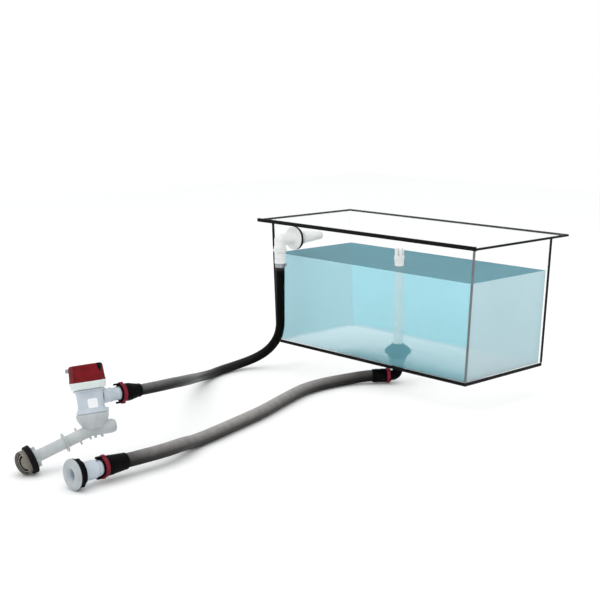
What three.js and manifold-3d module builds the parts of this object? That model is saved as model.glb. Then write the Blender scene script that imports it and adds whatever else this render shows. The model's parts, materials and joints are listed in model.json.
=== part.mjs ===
// Live bait well: a clear tank on a wide rim, with its fill pump, overflow drain and hoses.
// Millimetres. X runs along the front, Y to the back and Z up. The origin is the centre of
// the opening that the tank drops into, level with the underside of the rim.
import * as THREE from "three";
import { mergeVertices } from "three/addons/utils/BufferGeometryUtils.js";
import Module from "manifold-3d";

const wasm = await Module();
wasm.setup();

// Clearances
const SEAM = 0.3; // between pieces that are bonded, screwed or pressed together
const RUN = 0.4; // between pieces that turn or slide in each other
const CUT = 1; // how far a cutting shape runs past the face that it cuts

// Tank
const TANK_LENGTH = 720; // outside, at the bottom
const TANK_WIDTH = 326; // outside
const TANK_HEIGHT = 358; // underside of the rim to underside of the floor
const END_LEAN = 18.8; // how far each end leans out over the tank's height
const SHEET = 6; // clear sheet
const RIM_BREADTH = 27; // how far the rim stands out from the walls
const RIM_THICK = 6;
const EDGING_THICK = 4; // dark strip round the rim, measured outwards
const EDGING_TALL = 7.5; // front strip
const EDGING_LOW = 5.5; // the other three
const STRIP_THICK = 1.2; // bonded angle strips
const STRIP_WIDE = 7; // legs of the front left corner strip
const STRIP_THIN = 3; // legs of the front right corner strip
const STRIP_MIDDLE = 5.5; // legs of the back right corner strip
const STRIP_STOP = 3; // corner strips end this far under the rim
const BASE_LEG = 7.5; // legs of the strips along the bottom

// Fill fitting through the front wall
const FILL_X = -277;
const FILL_Z = -40;
const ELBOW_RADIUS = 16.5;
const ELBOW_REACH = 62; // wall face to the elbow's upright leg
const ELBOW_DROP = 26; // length of the upright leg
const ELBOW_BORE = 10;
const SPIGOT_RADIUS = 13.5; // threaded tail through the wall
const SPIGOT_LENGTH = 26; // inside of the wall face
const FILL_FLANGE_RADIUS = 33;
const FILL_FLANGE_THICK = 5;
const FILL_SEAL_RADIUS = 31;
const FILL_SEAL_THICK = 4;
const INNER_NUT_RADIUS = 22;
const INNER_NUT_THICK = 10;
const COUPLING_RADIUS = 18;
const COUPLING_TALL = 9.5;
const SOCKET_RADIUS = 16;
const SOCKET_TALL = 31;
const CLAMP_THICK = 1.4;
const CLAMP_TALL = 11;
const CLAMP_BLOCK = 8; // screw housing of the clamp

// Aerator nozzle
const NOZZLE_RADIUS = 18.3;
const NOZZLE_TIP_RADIUS = 11.5;
const NOZZLE_COLLAR_RADIUS = 20.5;
const NOZZLE_COLLAR_LONG = 7;
const NOZZLE_LENGTH = 83;
const NOZZLE_WALL = 2.4;
const NOZZLE_HOLE = 1.5;
const NOZZLE_HOLE_ROWS = 3;
const NOZZLE_HOLES_ROUND = 6;
const NOZZLE_ROW_STEP = 9;

// Drain and standpipe
const DRAIN_X = 44;
const DRAIN_Y = -72;
const PIPE_RADIUS = 12.7;
const PIPE_WALL = 2.4;
const PIPE_TOP = -46; // height of the pipe's top
const PIPE_FINGERS = 19; // length of the slots at its top
const PIPE_SLOT_WIDE = 5.5;
const PIPE_HEAD_RADIUS = 14.2;
const PIPE_HEAD_TALL = 9;
const DRAIN_RADIUS = 34; // widest part of the drain body
const DRAIN_FOOT_RADIUS = 26;
const DRAIN_FOOT_THICK = 4;
const DRAIN_NECK_RADIUS = 17;
const DRAIN_TOP = 45; // underside of the tank floor to the body's top
const DRAIN_BULGE_LOW = 17;
const DRAIN_BULGE_HIGH = 29;
const DRAIN_SOCKET = 22; // depth of the socket for the pipe
const DRAIN_BORE = 10.2;
const DRAIN_TAIL_RADIUS = 14;
const DRAIN_TAIL = 18; // tail below the tank floor
const DRAIN_GRIPS = 8;
const GRIP_RADIUS = 3.2;
const GASKET_THICK = 2.5;
const DRAIN_NUT_RADIUS = 23;
const DRAIN_NUT_THICK = 9;
const DRAIN_ELBOW_DROP = 46; // underside of the tank floor to the elbow's level leg
const DRAIN_ELBOW_RADIUS = 17.5;
const DRAIN_LEG_RADIUS = 14;
const DRAIN_HEADING = [-0.6, -0.8]; // direction of the level leg
const DRAIN_ADAPTER_REACH = 20;
const DRAIN_ADAPTER_LENGTH = 51.7;
const DRAIN_RING_RADIUS = 20.8;

// Hose adapters with their quarter-turn rings
const ADAPTER_WALL = 3;
const ADAPTER_LIP = 2;
const ADAPTER_LIP_THICK = 3;
const ADAPTER_SOCKET = 18; // how deep a tail goes in
const ADAPTER_SHOULDER = 14; // length of the wide part behind the ring
const ADAPTER_SLEEVE_WALL = 2.6; // wall of the hose end over the hose's radius
const ADAPTER_BORE_WALL = 3.5; // how much smaller the water way is than the hose
const EAR_WIDE = 8;
const EAR_TALL = 4;
const EAR_LONG = 9; // how far the ears reach past the lip, over the tail
const RING_WIDE = 9;
const RING_LUG = 2.4;
const RING_LUG_WIDE = 8;

// Mushroom outlet
const OUTLET_X = 180;
const OUTLET_Y = -1218; // back face of the mushroom head
const OUTLET_Z = -392;
const HEAD_RADIUS = 34;
const HEAD_EDGE = 4; // thickness at the rim of the head
const HEAD_DOME = 9; // thickness round the bore
const HEAD_LEAD = 5; // how much the bore widens at the face
const HEAD_BROW_SHARE = 0.85; // share of the head's radius where its face turns down
const OUTLET_BORE = 11;
const OUTLET_TUBE_RADIUS = 20.5;
const OUTLET_TUBE = 52;
const OUTLET_NECK = 12.7; // neck between the threaded tube and the adapter
const OUTLET_TAIL_RADIUS = 16.5;
const OUTLET_SEAL_RADIUS = 32;
const OUTLET_SEAL_THICK = 4;
const OUTLET_NUT_RADIUS = 29;
const OUTLET_NUT_THICK = 13;
const OUTLET_NUT_CHAMFER = 3;
const OUTLET_ADAPTER_LENGTH = 65.5;
const OUTLET_RING_RADIUS = 23.2;

// Pump
const PUMP_ORIGIN = [62, -1087, -345.6]; // where its upright axis meets the intake barrel
const PUMP_UPRIGHT = [-0.2712, 0.0444, 0.9615]; // direction of the upright axis
const INTAKE_SIDE = [-0.3145, -0.9482, -0.0449]; // square to it, above the intake barrel
const INTAKE_DROP = 16.3; // degrees that the barrel points down, to suit a leaning transom
const DISCHARGE_TURN = 193.5; // degrees from the intake to the discharge
const DISCHARGE_HEIGHT = 68.4;
const BARREL_RADIUS = 13.3;
const BARREL_BORE = 10;
const BARREL_REACH = 168.3; // upright axis to the barrel's open end
const STUB_REACH = 44.5; // upright axis to the plugged end of the stub opposite
const STUB_RADIUS = 16;
const PORT_RADIUS = 8.5; // barrel to bowl
const LUG_PLACE = 39.5; // distance of the barrel's two lugs
const LUG_TALL = 7;
const LUG_WIDE = 4.5;
const RIB_TALL = 5;
const RIB_WIDE = 4;
const RIB_STEP = 15;
const ROOT_SHARE = 0.75; // lugs and ribs start at this share of the barrel's radius
const PLUG_THICK = 5;
const PLUG_DEEP = 8;
const PLUG_NOSE_RADIUS = 12.8;
const COLLAR_PLACE = 70;
const COLLAR_RADIUS = 22.3;
const COLLAR_THICK = 2.6;
const NUT_THICK = 10.5;
const NUT_RADIUS = 18.5;
const NUT_WING = 4.5;
const NUT_WING_WIDE = 9;
const INTAKE_SEAL_RADIUS = 31.8;
const INTAKE_SEAL_THICK = 13.5;
const STRAINER_GRIP = 7; // how far the barrel goes into the strainer
const STRAINER_FLOOR = 5;
const STRAINER_RADIUS = 26.7;
const STRAINER_SIDE = 13; // height of its straight side
const STRAINER_DOME = 13.5;
const STRAINER_WALL = 2.4;
const STRAINER_SLOTS = 7;
const STRAINER_SLOT_WIDE = 2.4;
const STRAINER_SLOT_STEP = 5.6;
const STRAINER_SLOT_LOW = 7.5; // height where the slots begin
const BOWL_FOOT_RADIUS = 22.5;
const BOWL_MIDDLE_RADIUS = 28;
const BOWL_MIDDLE = 13;
const BOWL_SHOULDER_RADIUS = 33.5;
const BOWL_SHOULDER = 20.5;
const FLARE_RADIUS = 36.6;
const FLARE_LOW = 28.5;
const FLARE_HIGH = 34;
const SKIRT_RADIUS = 31.5; // where the flare's upper slope ends
const SKIRT_TOP = 44;
const WAIST_RADIUS = 29.6;
const WAIST = 54;
const BODY_RADIUS = 30.6;
const BODY_TOP = 81;
const SEAT_RADIUS = 36.3; // ledge that carries the collar
const SEAT_LOW = 84;
const SEAT_TOP = 88.5;
const CAVITY_RADIUS = 27;
const CAVITY_LOW_RADIUS = 24.5;
const CAVITY_FLOOR_RADIUS = 20;
const CAVITY_FLOOR = 21;
const CAVITY_RISE = 5; // height of the tapered part over the cavity's floor
const CAVITY_STEP = 42;
const DISCHARGE_RADIUS = 15;
const DISCHARGE_BORE = 10.5;
const PUMP_ADAPTER_REACH = 72.5; // upright axis to the adapter's lip
const PUMP_ADAPTER_LENGTH = 54;
const PUMP_RING_RADIUS = 21.6;
const LOCK_TALL = 16; // locking collar
const LOCK_TOP_RADIUS = 41;
const LOCK_LOW_RADIUS = 38;
const LOCK_BORE = 34.8;
const CAP_RADIUS = 41.3;
const CAP_TOP_RADIUS = 39;
const CAP_TALL = 38;
const CAP_CHAMFER = 4;
const CAP_SIDES = 12;
const CAP_WALL = 5;
const CAP_ROOF = 6;
const GLAND_TURN = 127; // degrees from the intake to the cable gland
const GLAND_PLACE = 33.5;
const GLAND_WIDE = 13;
const GLAND_LONG = 14;
const GLAND_WALL = 3;
const GLAND_DEEP = 13;
const GLAND_PROUD = 1;
const GLAND_BORE = 3;
const TAB_TURN = -16; // degrees from the intake to the lock tab
const TAB_HEIGHT = 134;
const TAB_WIDE = 8;
const TAB_TALL = 9;
const TAB_THICK = 4;

// Motor cartridge
const CAN_RADIUS = 23;
const CAN_BORE = 20;
const CAN_LOW = 54;
const CAN_FLOOR = 6;
const CAN_ROOF = 4;
const PLUG_RADIUS = 26.4;
const PLUG_LOW = 77;
const CAN_FLANGE_RADIUS = 34;
const CAN_FLANGE_THICK = 4;
const GROOVE_LOW = 81.5;
const RING_SECTION = 3;
const GROOVE_FLOOR_RADIUS = 24.2;
const SHAFT_RADIUS = 2.5;
const SHAFT_LOW = 24;
const ARMATURE_RADIUS = 17;
const ARMATURE_LOW = 74;
const ARMATURE_TALL = 40;
const ARMATURE_SLOTS = 7;
const ARMATURE_SLOT_WIDE = 4;
const ARMATURE_SLOT_DEEP = 6;
const BEARING_RADIUS = 8;
const BEARING_TALL = 5;
const SHAFT_SEAL_RADIUS = 7;
const SHAFT_SEAL_TALL = 5;
const IMPELLER_RADIUS = 21.5;
const IMPELLER_LOW = 25;
const IMPELLER_DISC = 3;
const IMPELLER_VANE_TALL = 10;
const IMPELLER_HUB = 6;
const IMPELLER_HUB_TALL = 15;
const IMPELLER_VANES = 5;
const VANE_THICK = 2.2;
const SHAFT_TOP_GAP = 2; // shaft end to the can's roof

// Hoses, with their routes chosen by eye: out of the fitting, down, and along the ground
const FILL_HOSE_RADIUS = 13;
const DRAIN_HOSE_RADIUS = 16;
const FILL_ROUTE = [
  [55.3, -957.7, -282.3], [55.9, -951.7, -282.4], [56.1, -922.6, -282.8], [51.7, -894, -284.4],
  [42.9, -866.1, -287.1], [30.3, -838.8, -291.2], [14.2, -812.2, -296.8], [-4.8, -786, -302.9],
  [-26.5, -760.3, -309.9], [-50.3, -734.9, -317.6], [-75.8, -709.8, -325.8],
  [-102.6, -684.8, -334.5], [-130.2, -660, -343.5], [-158.2, -635.2, -352.6],
  [-186.3, -610.3, -361.7], [-213.8, -585.3, -370.7], [-240.5, -560.1, -379.3],
  [-265.9, -534.5, -387.5], [-289.5, -508.7, -395], [-311, -482.3, -401.7],
  [-329.8, -455.4, -407.4], [-345.6, -427.9, -411.6], [-357.9, -399.8, -413],
  [-366.3, -370.8, -413], [-371.1, -340.7, -412.2], [-371.2, -310.6, -409.5],
  [-364.9, -281.1, -403.5], [-352.2, -255.3, -393.4], [-336, -234.3, -378.1],
  [-319.8, -219.7, -357.4], [-305.4, -211.8, -331.6], [-295.2, -210.7, -303.1],
  [-288.8, -214.3, -273.4], [-283.7, -219.1, -243.6], [-279.5, -222.8, -213.6],
  [-277.5, -224.5, -183.2], [-277, -225, -152.7], [-277, -225, -122], [-277, -225, -107.4],
];
const DRAIN_ROUTE = [
  [0.8, -129.6, -404], [-2.8, -134.4, -404], [-16.5, -154.8, -405.8], [-30, -181.6, -408.6],
  [-38.5, -211.1, -409.9], [-42.9, -241.3, -410.1], [-44.8, -271.7, -409.9],
  [-44.4, -302.1, -409.9], [-41.4, -332.4, -409.8], [-35.5, -362.3, -409.8],
  [-26.6, -391.5, -409.8], [-15.9, -420.4, -409.7], [-5, -448.6, -409.7], [6.2, -477.1, -409.8],
  [17.4, -505.3, -409.9], [28.8, -533.7, -410], [39.8, -561.9, -410], [50.4, -591, -410],
  [60.1, -620, -409.8], [69, -649.1, -409.8], [77.4, -678.3, -409.9], [85.9, -707.5, -410],
  [94.7, -736.5, -409.8], [103.7, -766, -409.6], [111.8, -795.5, -409.7], [118.9, -825.2, -410],
  [127.3, -854.5, -408.9], [139.1, -881.9, -404.7], [153.1, -908.4, -398.9],
  [165.7, -935.9, -394.9], [174.3, -965.1, -393], [178.3, -995.1, -392.3], [179.6, -1026, -392.1],
  [180, -1056, -392], [180, -1086.9, -392],
];
const FILL_STEPS = 26;
const DRAIN_STEPS = 17;

// Facets of the turned pieces
const FINE = 28;
const MEDIUM = 18;
const COARSE = 10;
const HOSE_SIDES = 10;
const DOME_STEPS = 4;

// Colour, roughness and metalness of each material
const CLEAR_ACRYLIC = ["#eef4f6", 0.05, 0];
const DARK_STRIP = ["#14161a", 0.45, 0];
const GREY_STRIP = ["#6f767a", 0.45, 0];
const WHITE_PLASTIC = ["#e9eceb", 0.4, 0];
const PUMP_PLASTIC = ["#cbd5d9", 0.4, 0];
const BLACK_PLASTIC = ["#1b1d1f", 0.5, 0];
const BLACK_RUBBER = ["#131415", 0.75, 0];
const RED_PLASTIC = ["#7d1f26", 0.38, 0];
const CRIMSON_PLASTIC = ["#a8283f", 0.4, 0];
const BRONZE_MESH = ["#78746a", 0.5, 0.35];
const HOSE_GREY = ["#5d5d5c", 0.5, 0];
const HOSE_DARK = ["#2a2a2b", 0.5, 0];
const STEEL = ["#9a9c9e", 0.35, 1];
const GREY_PLASTIC = ["#9aa1a4", 0.5, 0];

// Welds a mesh, drops empty triangles and turns its faces outwards
function closed(geometry) {
  const bare = geometry.clone();
  bare.deleteAttribute("normal");
  bare.deleteAttribute("uv");
  const welded = mergeVertices(bare);
  const at = welded.attributes.position;
  const kept = [];
  for (let i = 0; i < welded.index.count; i += 3) {
    const tri = [0, 1, 2].map((k) => welded.index.getX(i + k));
    if (new Set(tri).size === 3) kept.push(tri);
  }
  const corner = (i) => new THREE.Vector3().fromBufferAttribute(at, i);
  let volume = 0;
  for (const [a, b, c] of kept) volume += corner(a).dot(corner(b).cross(corner(c)));
  welded.setIndex(kept.flatMap(([a, b, c]) => (volume < 0 ? [a, c, b] : [a, b, c])));
  return welded;
}

function solid(geometry) {
  const welded = closed(geometry);
  const vertProperties = new Float32Array(welded.attributes.position.array);
  const triVerts = new Uint32Array(welded.index.array);
  return new wasm.Manifold(new wasm.Mesh({ numProp: 3, vertProperties, triVerts }));
}

function surface(body) {
  const mesh = body.getMesh();
  const geometry = new THREE.BufferGeometry();
  geometry.setAttribute("position", new THREE.BufferAttribute(mesh.vertProperties, 3));
  geometry.setIndex(new THREE.BufferAttribute(mesh.triVerts, 1));
  return geometry;
}

function joined(shapes) {
  return shapes.map(solid).reduce((whole, next) => whole.add(next));
}

// Joins the first shapes and cuts the second ones out of them
function carved(shapes, cuts) {
  return surface(cuts.map(solid).reduce((whole, next) => whole.subtract(next), joined(shapes)));
}

// A turned shape about Z from its outline of radius and height
function turned(outline, sides) {
  const points = outline.map(([radius, height]) => new THREE.Vector2(radius, height));
  return new THREE.LatheGeometry(points, sides).rotateX(Math.PI / 2);
}

function rod(radius, low, high, sides = MEDIUM) {
  return turned([[0, low], [radius, low], [radius, high], [0, high]], sides);
}

function tube(bore, radius, low, high, sides = MEDIUM) {
  return turned([[bore, low], [radius, low], [radius, high], [bore, high], [bore, low]], sides);
}

function ball(radius, sides) {
  return new THREE.SphereGeometry(radius, sides, COARSE);
}

function block(wide, deep, tall, x = 0, y = 0, z = 0) {
  return new THREE.BoxGeometry(wide, deep, tall).translate(x, y, z);
}

function plate(outline, thick) {
  const shape = new THREE.Shape(outline.map(([x, y]) => new THREE.Vector2(x, y)));
  return new THREE.ExtrudeGeometry(shape, { depth: thick, bevelEnabled: false });
}

// Turns a shape made along Z so that it lies along X
const alongX = (geometry) => geometry.rotateY(Math.PI / 2);

// A standing plate from the given Y towards the back, its outline in X and depth below zero
function uprightPlate(outline, thick, y) {
  return plate(outline, thick).rotateX(-Math.PI / 2).translate(0, y, 0);
}

function around(count, make) {
  return Array.from({ length: count }, (_, i) => make((i * 2 * Math.PI) / count));
}

// Group whose Z points along the first direction and whose X lies towards the second
function stand(origin, along, across) {
  const z = new THREE.Vector3(...along).normalize();
  const y = z.clone().cross(new THREE.Vector3(...across)).normalize();
  const x = y.clone().cross(z);
  const group = new THREE.Group();
  group.quaternion.setFromRotationMatrix(new THREE.Matrix4().makeBasis(x, y, z));
  group.position.set(...origin);
  return group;
}

function put(group, name, geometry, [color, roughness, metalness]) {
  const material = new THREE.MeshStandardMaterial({ color, roughness, metalness });
  const mesh = new THREE.Mesh(closed(geometry), material);
  mesh.name = name;
  group.add(mesh);
}

// Tank walls and floor
const HALF_LENGTH = TANK_LENGTH / 2;
const HALF_WIDTH = TANK_WIDTH / 2;
const LEAN = END_LEAN / TANK_HEIGHT; // outward lean of an end for each millimetre of height
const TOP_HALF_LENGTH = HALF_LENGTH + LEAN * (TANK_HEIGHT + RIM_THICK);

function longWall(y, cuts) {
  const outline = [
    [-HALF_LENGTH, TANK_HEIGHT], [HALF_LENGTH, TANK_HEIGHT],
    [TOP_HALF_LENGTH, -RIM_THICK], [-TOP_HALF_LENGTH, -RIM_THICK],
  ];
  return carved([uprightPlate(outline, SHEET, y)], cuts);
}

function endWall(side) {
  const outline = [
    [side * HALF_LENGTH, TANK_HEIGHT], [side * (HALF_LENGTH - SHEET), TANK_HEIGHT],
    [side * (TOP_HALF_LENGTH - SHEET), -RIM_THICK], [side * TOP_HALF_LENGTH, -RIM_THICK],
  ];
  const inside = TANK_WIDTH - 2 * (SHEET + SEAM);
  return uprightPlate(outline, inside, -inside / 2);
}

function addTankPanels(group) {
  const bore = rod(SPIGOT_RADIUS + SEAM, -CUT, SHEET + CUT);
  const wallBore = bore.rotateX(-Math.PI / 2).translate(FILL_X, -HALF_WIDTH, FILL_Z);
  put(group, "tank_front_panel", longWall(-HALF_WIDTH, [wallBore]), CLEAR_ACRYLIC);
  put(group, "tank_back_panel", longWall(HALF_WIDTH - SHEET, []), CLEAR_ACRYLIC);
  put(group, "tank_left_panel", endWall(-1), CLEAR_ACRYLIC);
  put(group, "tank_right_panel", endWall(1), CLEAR_ACRYLIC);
  const margin = 2 * (SHEET + SEAM);
  const floor = block(TANK_LENGTH - margin, TANK_WIDTH - margin, SHEET);
  floor.translate(0, 0, SHEET / 2 - TANK_HEIGHT);
  const drainBore = rod(DRAIN_TAIL_RADIUS + SEAM, -CUT, SHEET + CUT);
  drainBore.translate(DRAIN_X, DRAIN_Y, -TANK_HEIGHT);
  put(group, "tank_floor_panel", carved([floor], [drainBore]), CLEAR_ACRYLIC);
}

// Four mitred bars round an inner rectangle, in the order front, back, left, right
function frameBars(innerX, innerY, breadth, talls) {
  const mitre = SEAM * Math.SQRT2;
  const along = [
    [-innerX + mitre, innerY], [innerX - mitre, innerY],
    [innerX + breadth - mitre, innerY + breadth], [-innerX - breadth + mitre, innerY + breadth],
  ];
  const across = [
    [innerX, -innerY], [innerX, innerY],
    [innerX + breadth, innerY + breadth], [innerX + breadth, -innerY - breadth],
  ];
  const flip = (outline) => outline.map(([x, y]) => [-x, -y]);
  return [flip(along), along, flip(across), across].map((outline, i) =>
    plate(outline, talls[i]).translate(0, 0, (RIM_THICK - talls[i]) / 2));
}

const SIDES = ["front", "back", "left", "right"];

function addRim(group) {
  const innerX = TOP_HALF_LENGTH + SEAM;
  const innerY = HALF_WIDTH + SEAM;
  const rims = frameBars(innerX, innerY, RIM_BREADTH, SIDES.map(() => RIM_THICK));
  const talls = SIDES.map((side) => (side === "front" ? EDGING_TALL : EDGING_LOW));
  const out = RIM_BREADTH + SEAM;
  const edgings = frameBars(innerX + out, innerY + out, EDGING_THICK, talls);
  SIDES.forEach((side, i) => {
    put(group, `rim_flange_${side}`, rims[i], CLEAR_ACRYLIC);
    put(group, `rim_edging_${side}`, edgings[i], DARK_STRIP);
  });
}

// Pushes each point sideways along X by the lean of the tank's ends at its height
function leaned(geometry, side) {
  const at = geometry.attributes.position;
  for (let i = 0; i < at.count; i += 1) {
    at.setX(i, at.getX(i) + side * LEAN * (at.getZ(i) + TANK_HEIGHT));
  }
  return geometry;
}

// Angle strip on an upright corner, given by the signs of its X and Y
function cornerStrip(sideX, sideY, leg) {
  const out = SEAM + STRIP_THICK;
  const section = [[out, out], [-leg, out], [-leg, SEAM], [SEAM, SEAM], [SEAM, -leg], [out, -leg]];
  const low = BASE_LEG + 2 * SEAM;
  const outline = section.map(([p, q]) => [sideX * p, sideY * q]);
  const strip = plate(outline, TANK_HEIGHT - low - STRIP_STOP);
  strip.translate(sideX * HALF_LENGTH, sideY * HALF_WIDTH, low - TANK_HEIGHT);
  return leaned(strip, sideX);
}

// Angle strip under an edge, along Z, with one end mitred for its neighbour
function baseStrip(length, mitredStart) {
  const out = SEAM + STRIP_THICK;
  const section = [
    [SEAM, BASE_LEG], [out, BASE_LEG], [out, -out],
    [-BASE_LEG, -out], [-BASE_LEG, -SEAM], [SEAM, -SEAM],
  ];
  const strip = plate(section, length);
  const at = strip.attributes.position;
  const middle = length / 2;
  for (let i = 0; i < at.count; i += 1) {
    const atStart = at.getZ(i) < middle;
    if (atStart === mitredStart) {
      const shift = atStart ? SEAM - at.getX(i) : at.getX(i) - SEAM;
      at.setZ(i, at.getZ(i) + shift);
    }
  }
  return strip;
}

function addStrips(group) {
  put(group, "corner_strip_front_left", cornerStrip(-1, -1, STRIP_WIDE), DARK_STRIP);
  put(group, "corner_strip_front_right", cornerStrip(1, -1, STRIP_THIN), GREY_STRIP);
  put(group, "corner_strip_back_right", cornerStrip(1, 1, STRIP_MIDDLE), DARK_STRIP);
  const turn = new THREE.Matrix4();
  const front = baseStrip(TANK_LENGTH, false);
  turn.set(0, 0, 1, -HALF_LENGTH, -1, 0, 0, -HALF_WIDTH, 0, 1, 0, -TANK_HEIGHT, 0, 0, 0, 1);
  put(group, "base_strip_front", front.applyMatrix4(turn), DARK_STRIP);
  const right = baseStrip(TANK_WIDTH, true);
  turn.set(1, 0, 0, HALF_LENGTH, 0, 0, 1, -HALF_WIDTH, 0, 1, 0, -TANK_HEIGHT, 0, 0, 0, 1);
  put(group, "base_strip_right", leaned(right.applyMatrix4(turn), 1), DARK_STRIP);
}

// Fill fitting: Z points into the tank from the front wall's outer face, and Y points down
function addFillFitting(root) {
  const group = stand([FILL_X, -HALF_WIDTH, FILL_Z], [0, 1, 0], [1, 0, 0]);
  root.add(group);
  const sealFace = -SEAM - FILL_SEAL_THICK;
  const flangeFace = sealFace - SEAM;
  const down = (geometry) => geometry.rotateX(-Math.PI / 2).translate(0, 0, -ELBOW_REACH);
  const elbow = carved(
    [
      rod(FILL_FLANGE_RADIUS, flangeFace - FILL_FLANGE_THICK, flangeFace, FINE),
      rod(ELBOW_RADIUS, -ELBOW_REACH, flangeFace - FILL_FLANGE_THICK / 2),
      rod(SPIGOT_RADIUS, flangeFace - FILL_FLANGE_THICK, SPIGOT_LENGTH),
      ball(ELBOW_RADIUS, MEDIUM).rotateX(Math.PI / 2).translate(0, 0, -ELBOW_REACH),
      down(rod(ELBOW_RADIUS, 0, ELBOW_DROP)),
    ],
    [
      rod(ELBOW_BORE, -ELBOW_REACH, SPIGOT_LENGTH + CUT, COARSE),
      down(rod(ELBOW_BORE, 0, ELBOW_DROP + CUT, COARSE)),
      ball(ELBOW_BORE, COARSE).translate(0, 0, -ELBOW_REACH),
    ],
  );
  put(group, "fill_elbow", elbow, WHITE_PLASTIC);
  const onSpigot = SPIGOT_RADIUS + SEAM;
  const seal = tube(onSpigot, FILL_SEAL_RADIUS, sealFace, -SEAM, FINE);
  put(group, "fill_wall_seal", seal, BLACK_RUBBER);
  const nutFace = SHEET + SEAM;
  const nutEnd = nutFace + INNER_NUT_THICK;
  const nutCut = rod(onSpigot, nutFace - CUT, nutEnd + CUT);
  const nut = carved([rod(INNER_NUT_RADIUS, nutFace, nutEnd, 6)], [nutCut]);
  put(group, "fill_inner_nut", nut, WHITE_PLASTIC);
  put(group, "aerator_nozzle", aeratorNozzle(nutEnd + RUN), WHITE_PLASTIC);

  const coupling = ELBOW_DROP + SEAM;
  const socket = coupling + COUPLING_TALL + SEAM;
  const socketEnd = socket + SOCKET_TALL;
  const ring = tube(ELBOW_BORE, COUPLING_RADIUS, coupling, coupling + COUPLING_TALL);
  put(group, "fill_coupling_ring", down(ring), WHITE_PLASTIC);
  const tail = tube(ELBOW_BORE, SOCKET_RADIUS, socket, socketEnd);
  put(group, "fill_hose_tail", down(tail), WHITE_PLASTIC);
  const clampBore = FILL_HOSE_RADIUS + SEAM;
  const clampLow = socketEnd + SEAM;
  const clampEnd = clampLow + CLAMP_TALL;
  const band = tube(clampBore, clampBore + CLAMP_THICK, clampLow, clampEnd);
  const screw = block(CLAMP_BLOCK, CLAMP_BLOCK, CLAMP_BLOCK);
  screw.translate(0, -clampBore - CLAMP_BLOCK / 2, clampLow + CLAMP_BLOCK / 2).rotateZ(Math.PI / 4);
  const clamp = carved([band, screw], [rod(clampBore, clampLow - CUT, clampEnd + CUT)]);
  put(group, "fill_hose_clamp", down(clamp), STEEL);
}

function aeratorNozzle(start) {
  const bore = SPIGOT_RADIUS + RUN;
  const neck = start + NOZZLE_COLLAR_LONG;
  const end = start + NOZZLE_LENGTH;
  const shell = turned(
    [
      [bore, start], [NOZZLE_COLLAR_RADIUS, start], [NOZZLE_COLLAR_RADIUS, neck],
      [NOZZLE_RADIUS, neck], [NOZZLE_TIP_RADIUS, end], [0, end], [0, end - NOZZLE_WALL],
      [NOZZLE_TIP_RADIUS - NOZZLE_WALL, end - NOZZLE_WALL], [bore, SPIGOT_LENGTH + RUN], [bore, start],
    ],
    MEDIUM,
  );
  const holes = [];
  for (let row = 0; row < NOZZLE_HOLE_ROWS; row += 1) {
    const z = end - NOZZLE_ROW_STEP * (row + 1 / 2);
    const twist = row * Math.PI / NOZZLE_HOLES_ROUND;
    const hole = (angle) =>
      alongX(rod(NOZZLE_HOLE, 0, NOZZLE_RADIUS + CUT, 6)).rotateZ(angle + twist).translate(0, 0, z);
    holes.push(...around(NOZZLE_HOLES_ROUND, hole));
  }
  return carved([shell], holes);
}

// Drain and standpipe: Z is up from the underside of the tank's floor
const PIPE_FOOT = DRAIN_TOP - DRAIN_SOCKET + SEAM;

function standpipe() {
  const top = TANK_HEIGHT + PIPE_TOP;
  const head = top - PIPE_FINGERS;
  const bore = PIPE_RADIUS - PIPE_WALL;
  const pipe = turned(
    [
      [bore, PIPE_FOOT], [PIPE_RADIUS, PIPE_FOOT], [PIPE_RADIUS, head - 2 * PIPE_HEAD_TALL],
      [PIPE_HEAD_RADIUS, head - PIPE_HEAD_TALL], [PIPE_HEAD_RADIUS, head],
      [PIPE_RADIUS, head], [PIPE_RADIUS, top], [bore, top], [bore, PIPE_FOOT],
    ],
    MEDIUM,
  );
  const slotTall = PIPE_FINGERS + CUT;
  const slotMiddle = head + slotTall / 2;
  const slot = (angle) =>
    block(2 * (PIPE_HEAD_RADIUS + CUT), PIPE_SLOT_WIDE, slotTall, 0, 0, slotMiddle).rotateZ(angle);
  return carved([pipe], [slot(Math.PI / 6), slot(Math.PI / 2), slot((5 * Math.PI) / 6)]);
}

function drainBody() {
  const foot = SHEET + GASKET_THICK + 2 * SEAM;
  const socket = PIPE_RADIUS + RUN;
  const stop = DRAIN_TOP - DRAIN_SOCKET;
  const body = turned(
    [
      [DRAIN_BORE, -DRAIN_TAIL], [DRAIN_TAIL_RADIUS, -DRAIN_TAIL], [DRAIN_TAIL_RADIUS, foot],
      [DRAIN_FOOT_RADIUS, foot], [DRAIN_FOOT_RADIUS, foot + DRAIN_FOOT_THICK],
      [DRAIN_RADIUS, DRAIN_BULGE_LOW + DRAIN_FOOT_THICK], [DRAIN_RADIUS, DRAIN_BULGE_HIGH],
      [DRAIN_NECK_RADIUS, DRAIN_TOP], [socket, DRAIN_TOP], [socket, stop], [DRAIN_BORE, stop],
      [DRAIN_BORE, -DRAIN_TAIL],
    ],
    FINE,
  );
  const grip = (angle) =>
    rod(GRIP_RADIUS, DRAIN_BULGE_LOW, DRAIN_BULGE_HIGH, 8).translate(DRAIN_RADIUS, 0, 0).rotateZ(angle);
  return carved([body, ...around(DRAIN_GRIPS, grip)], []);
}

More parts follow.
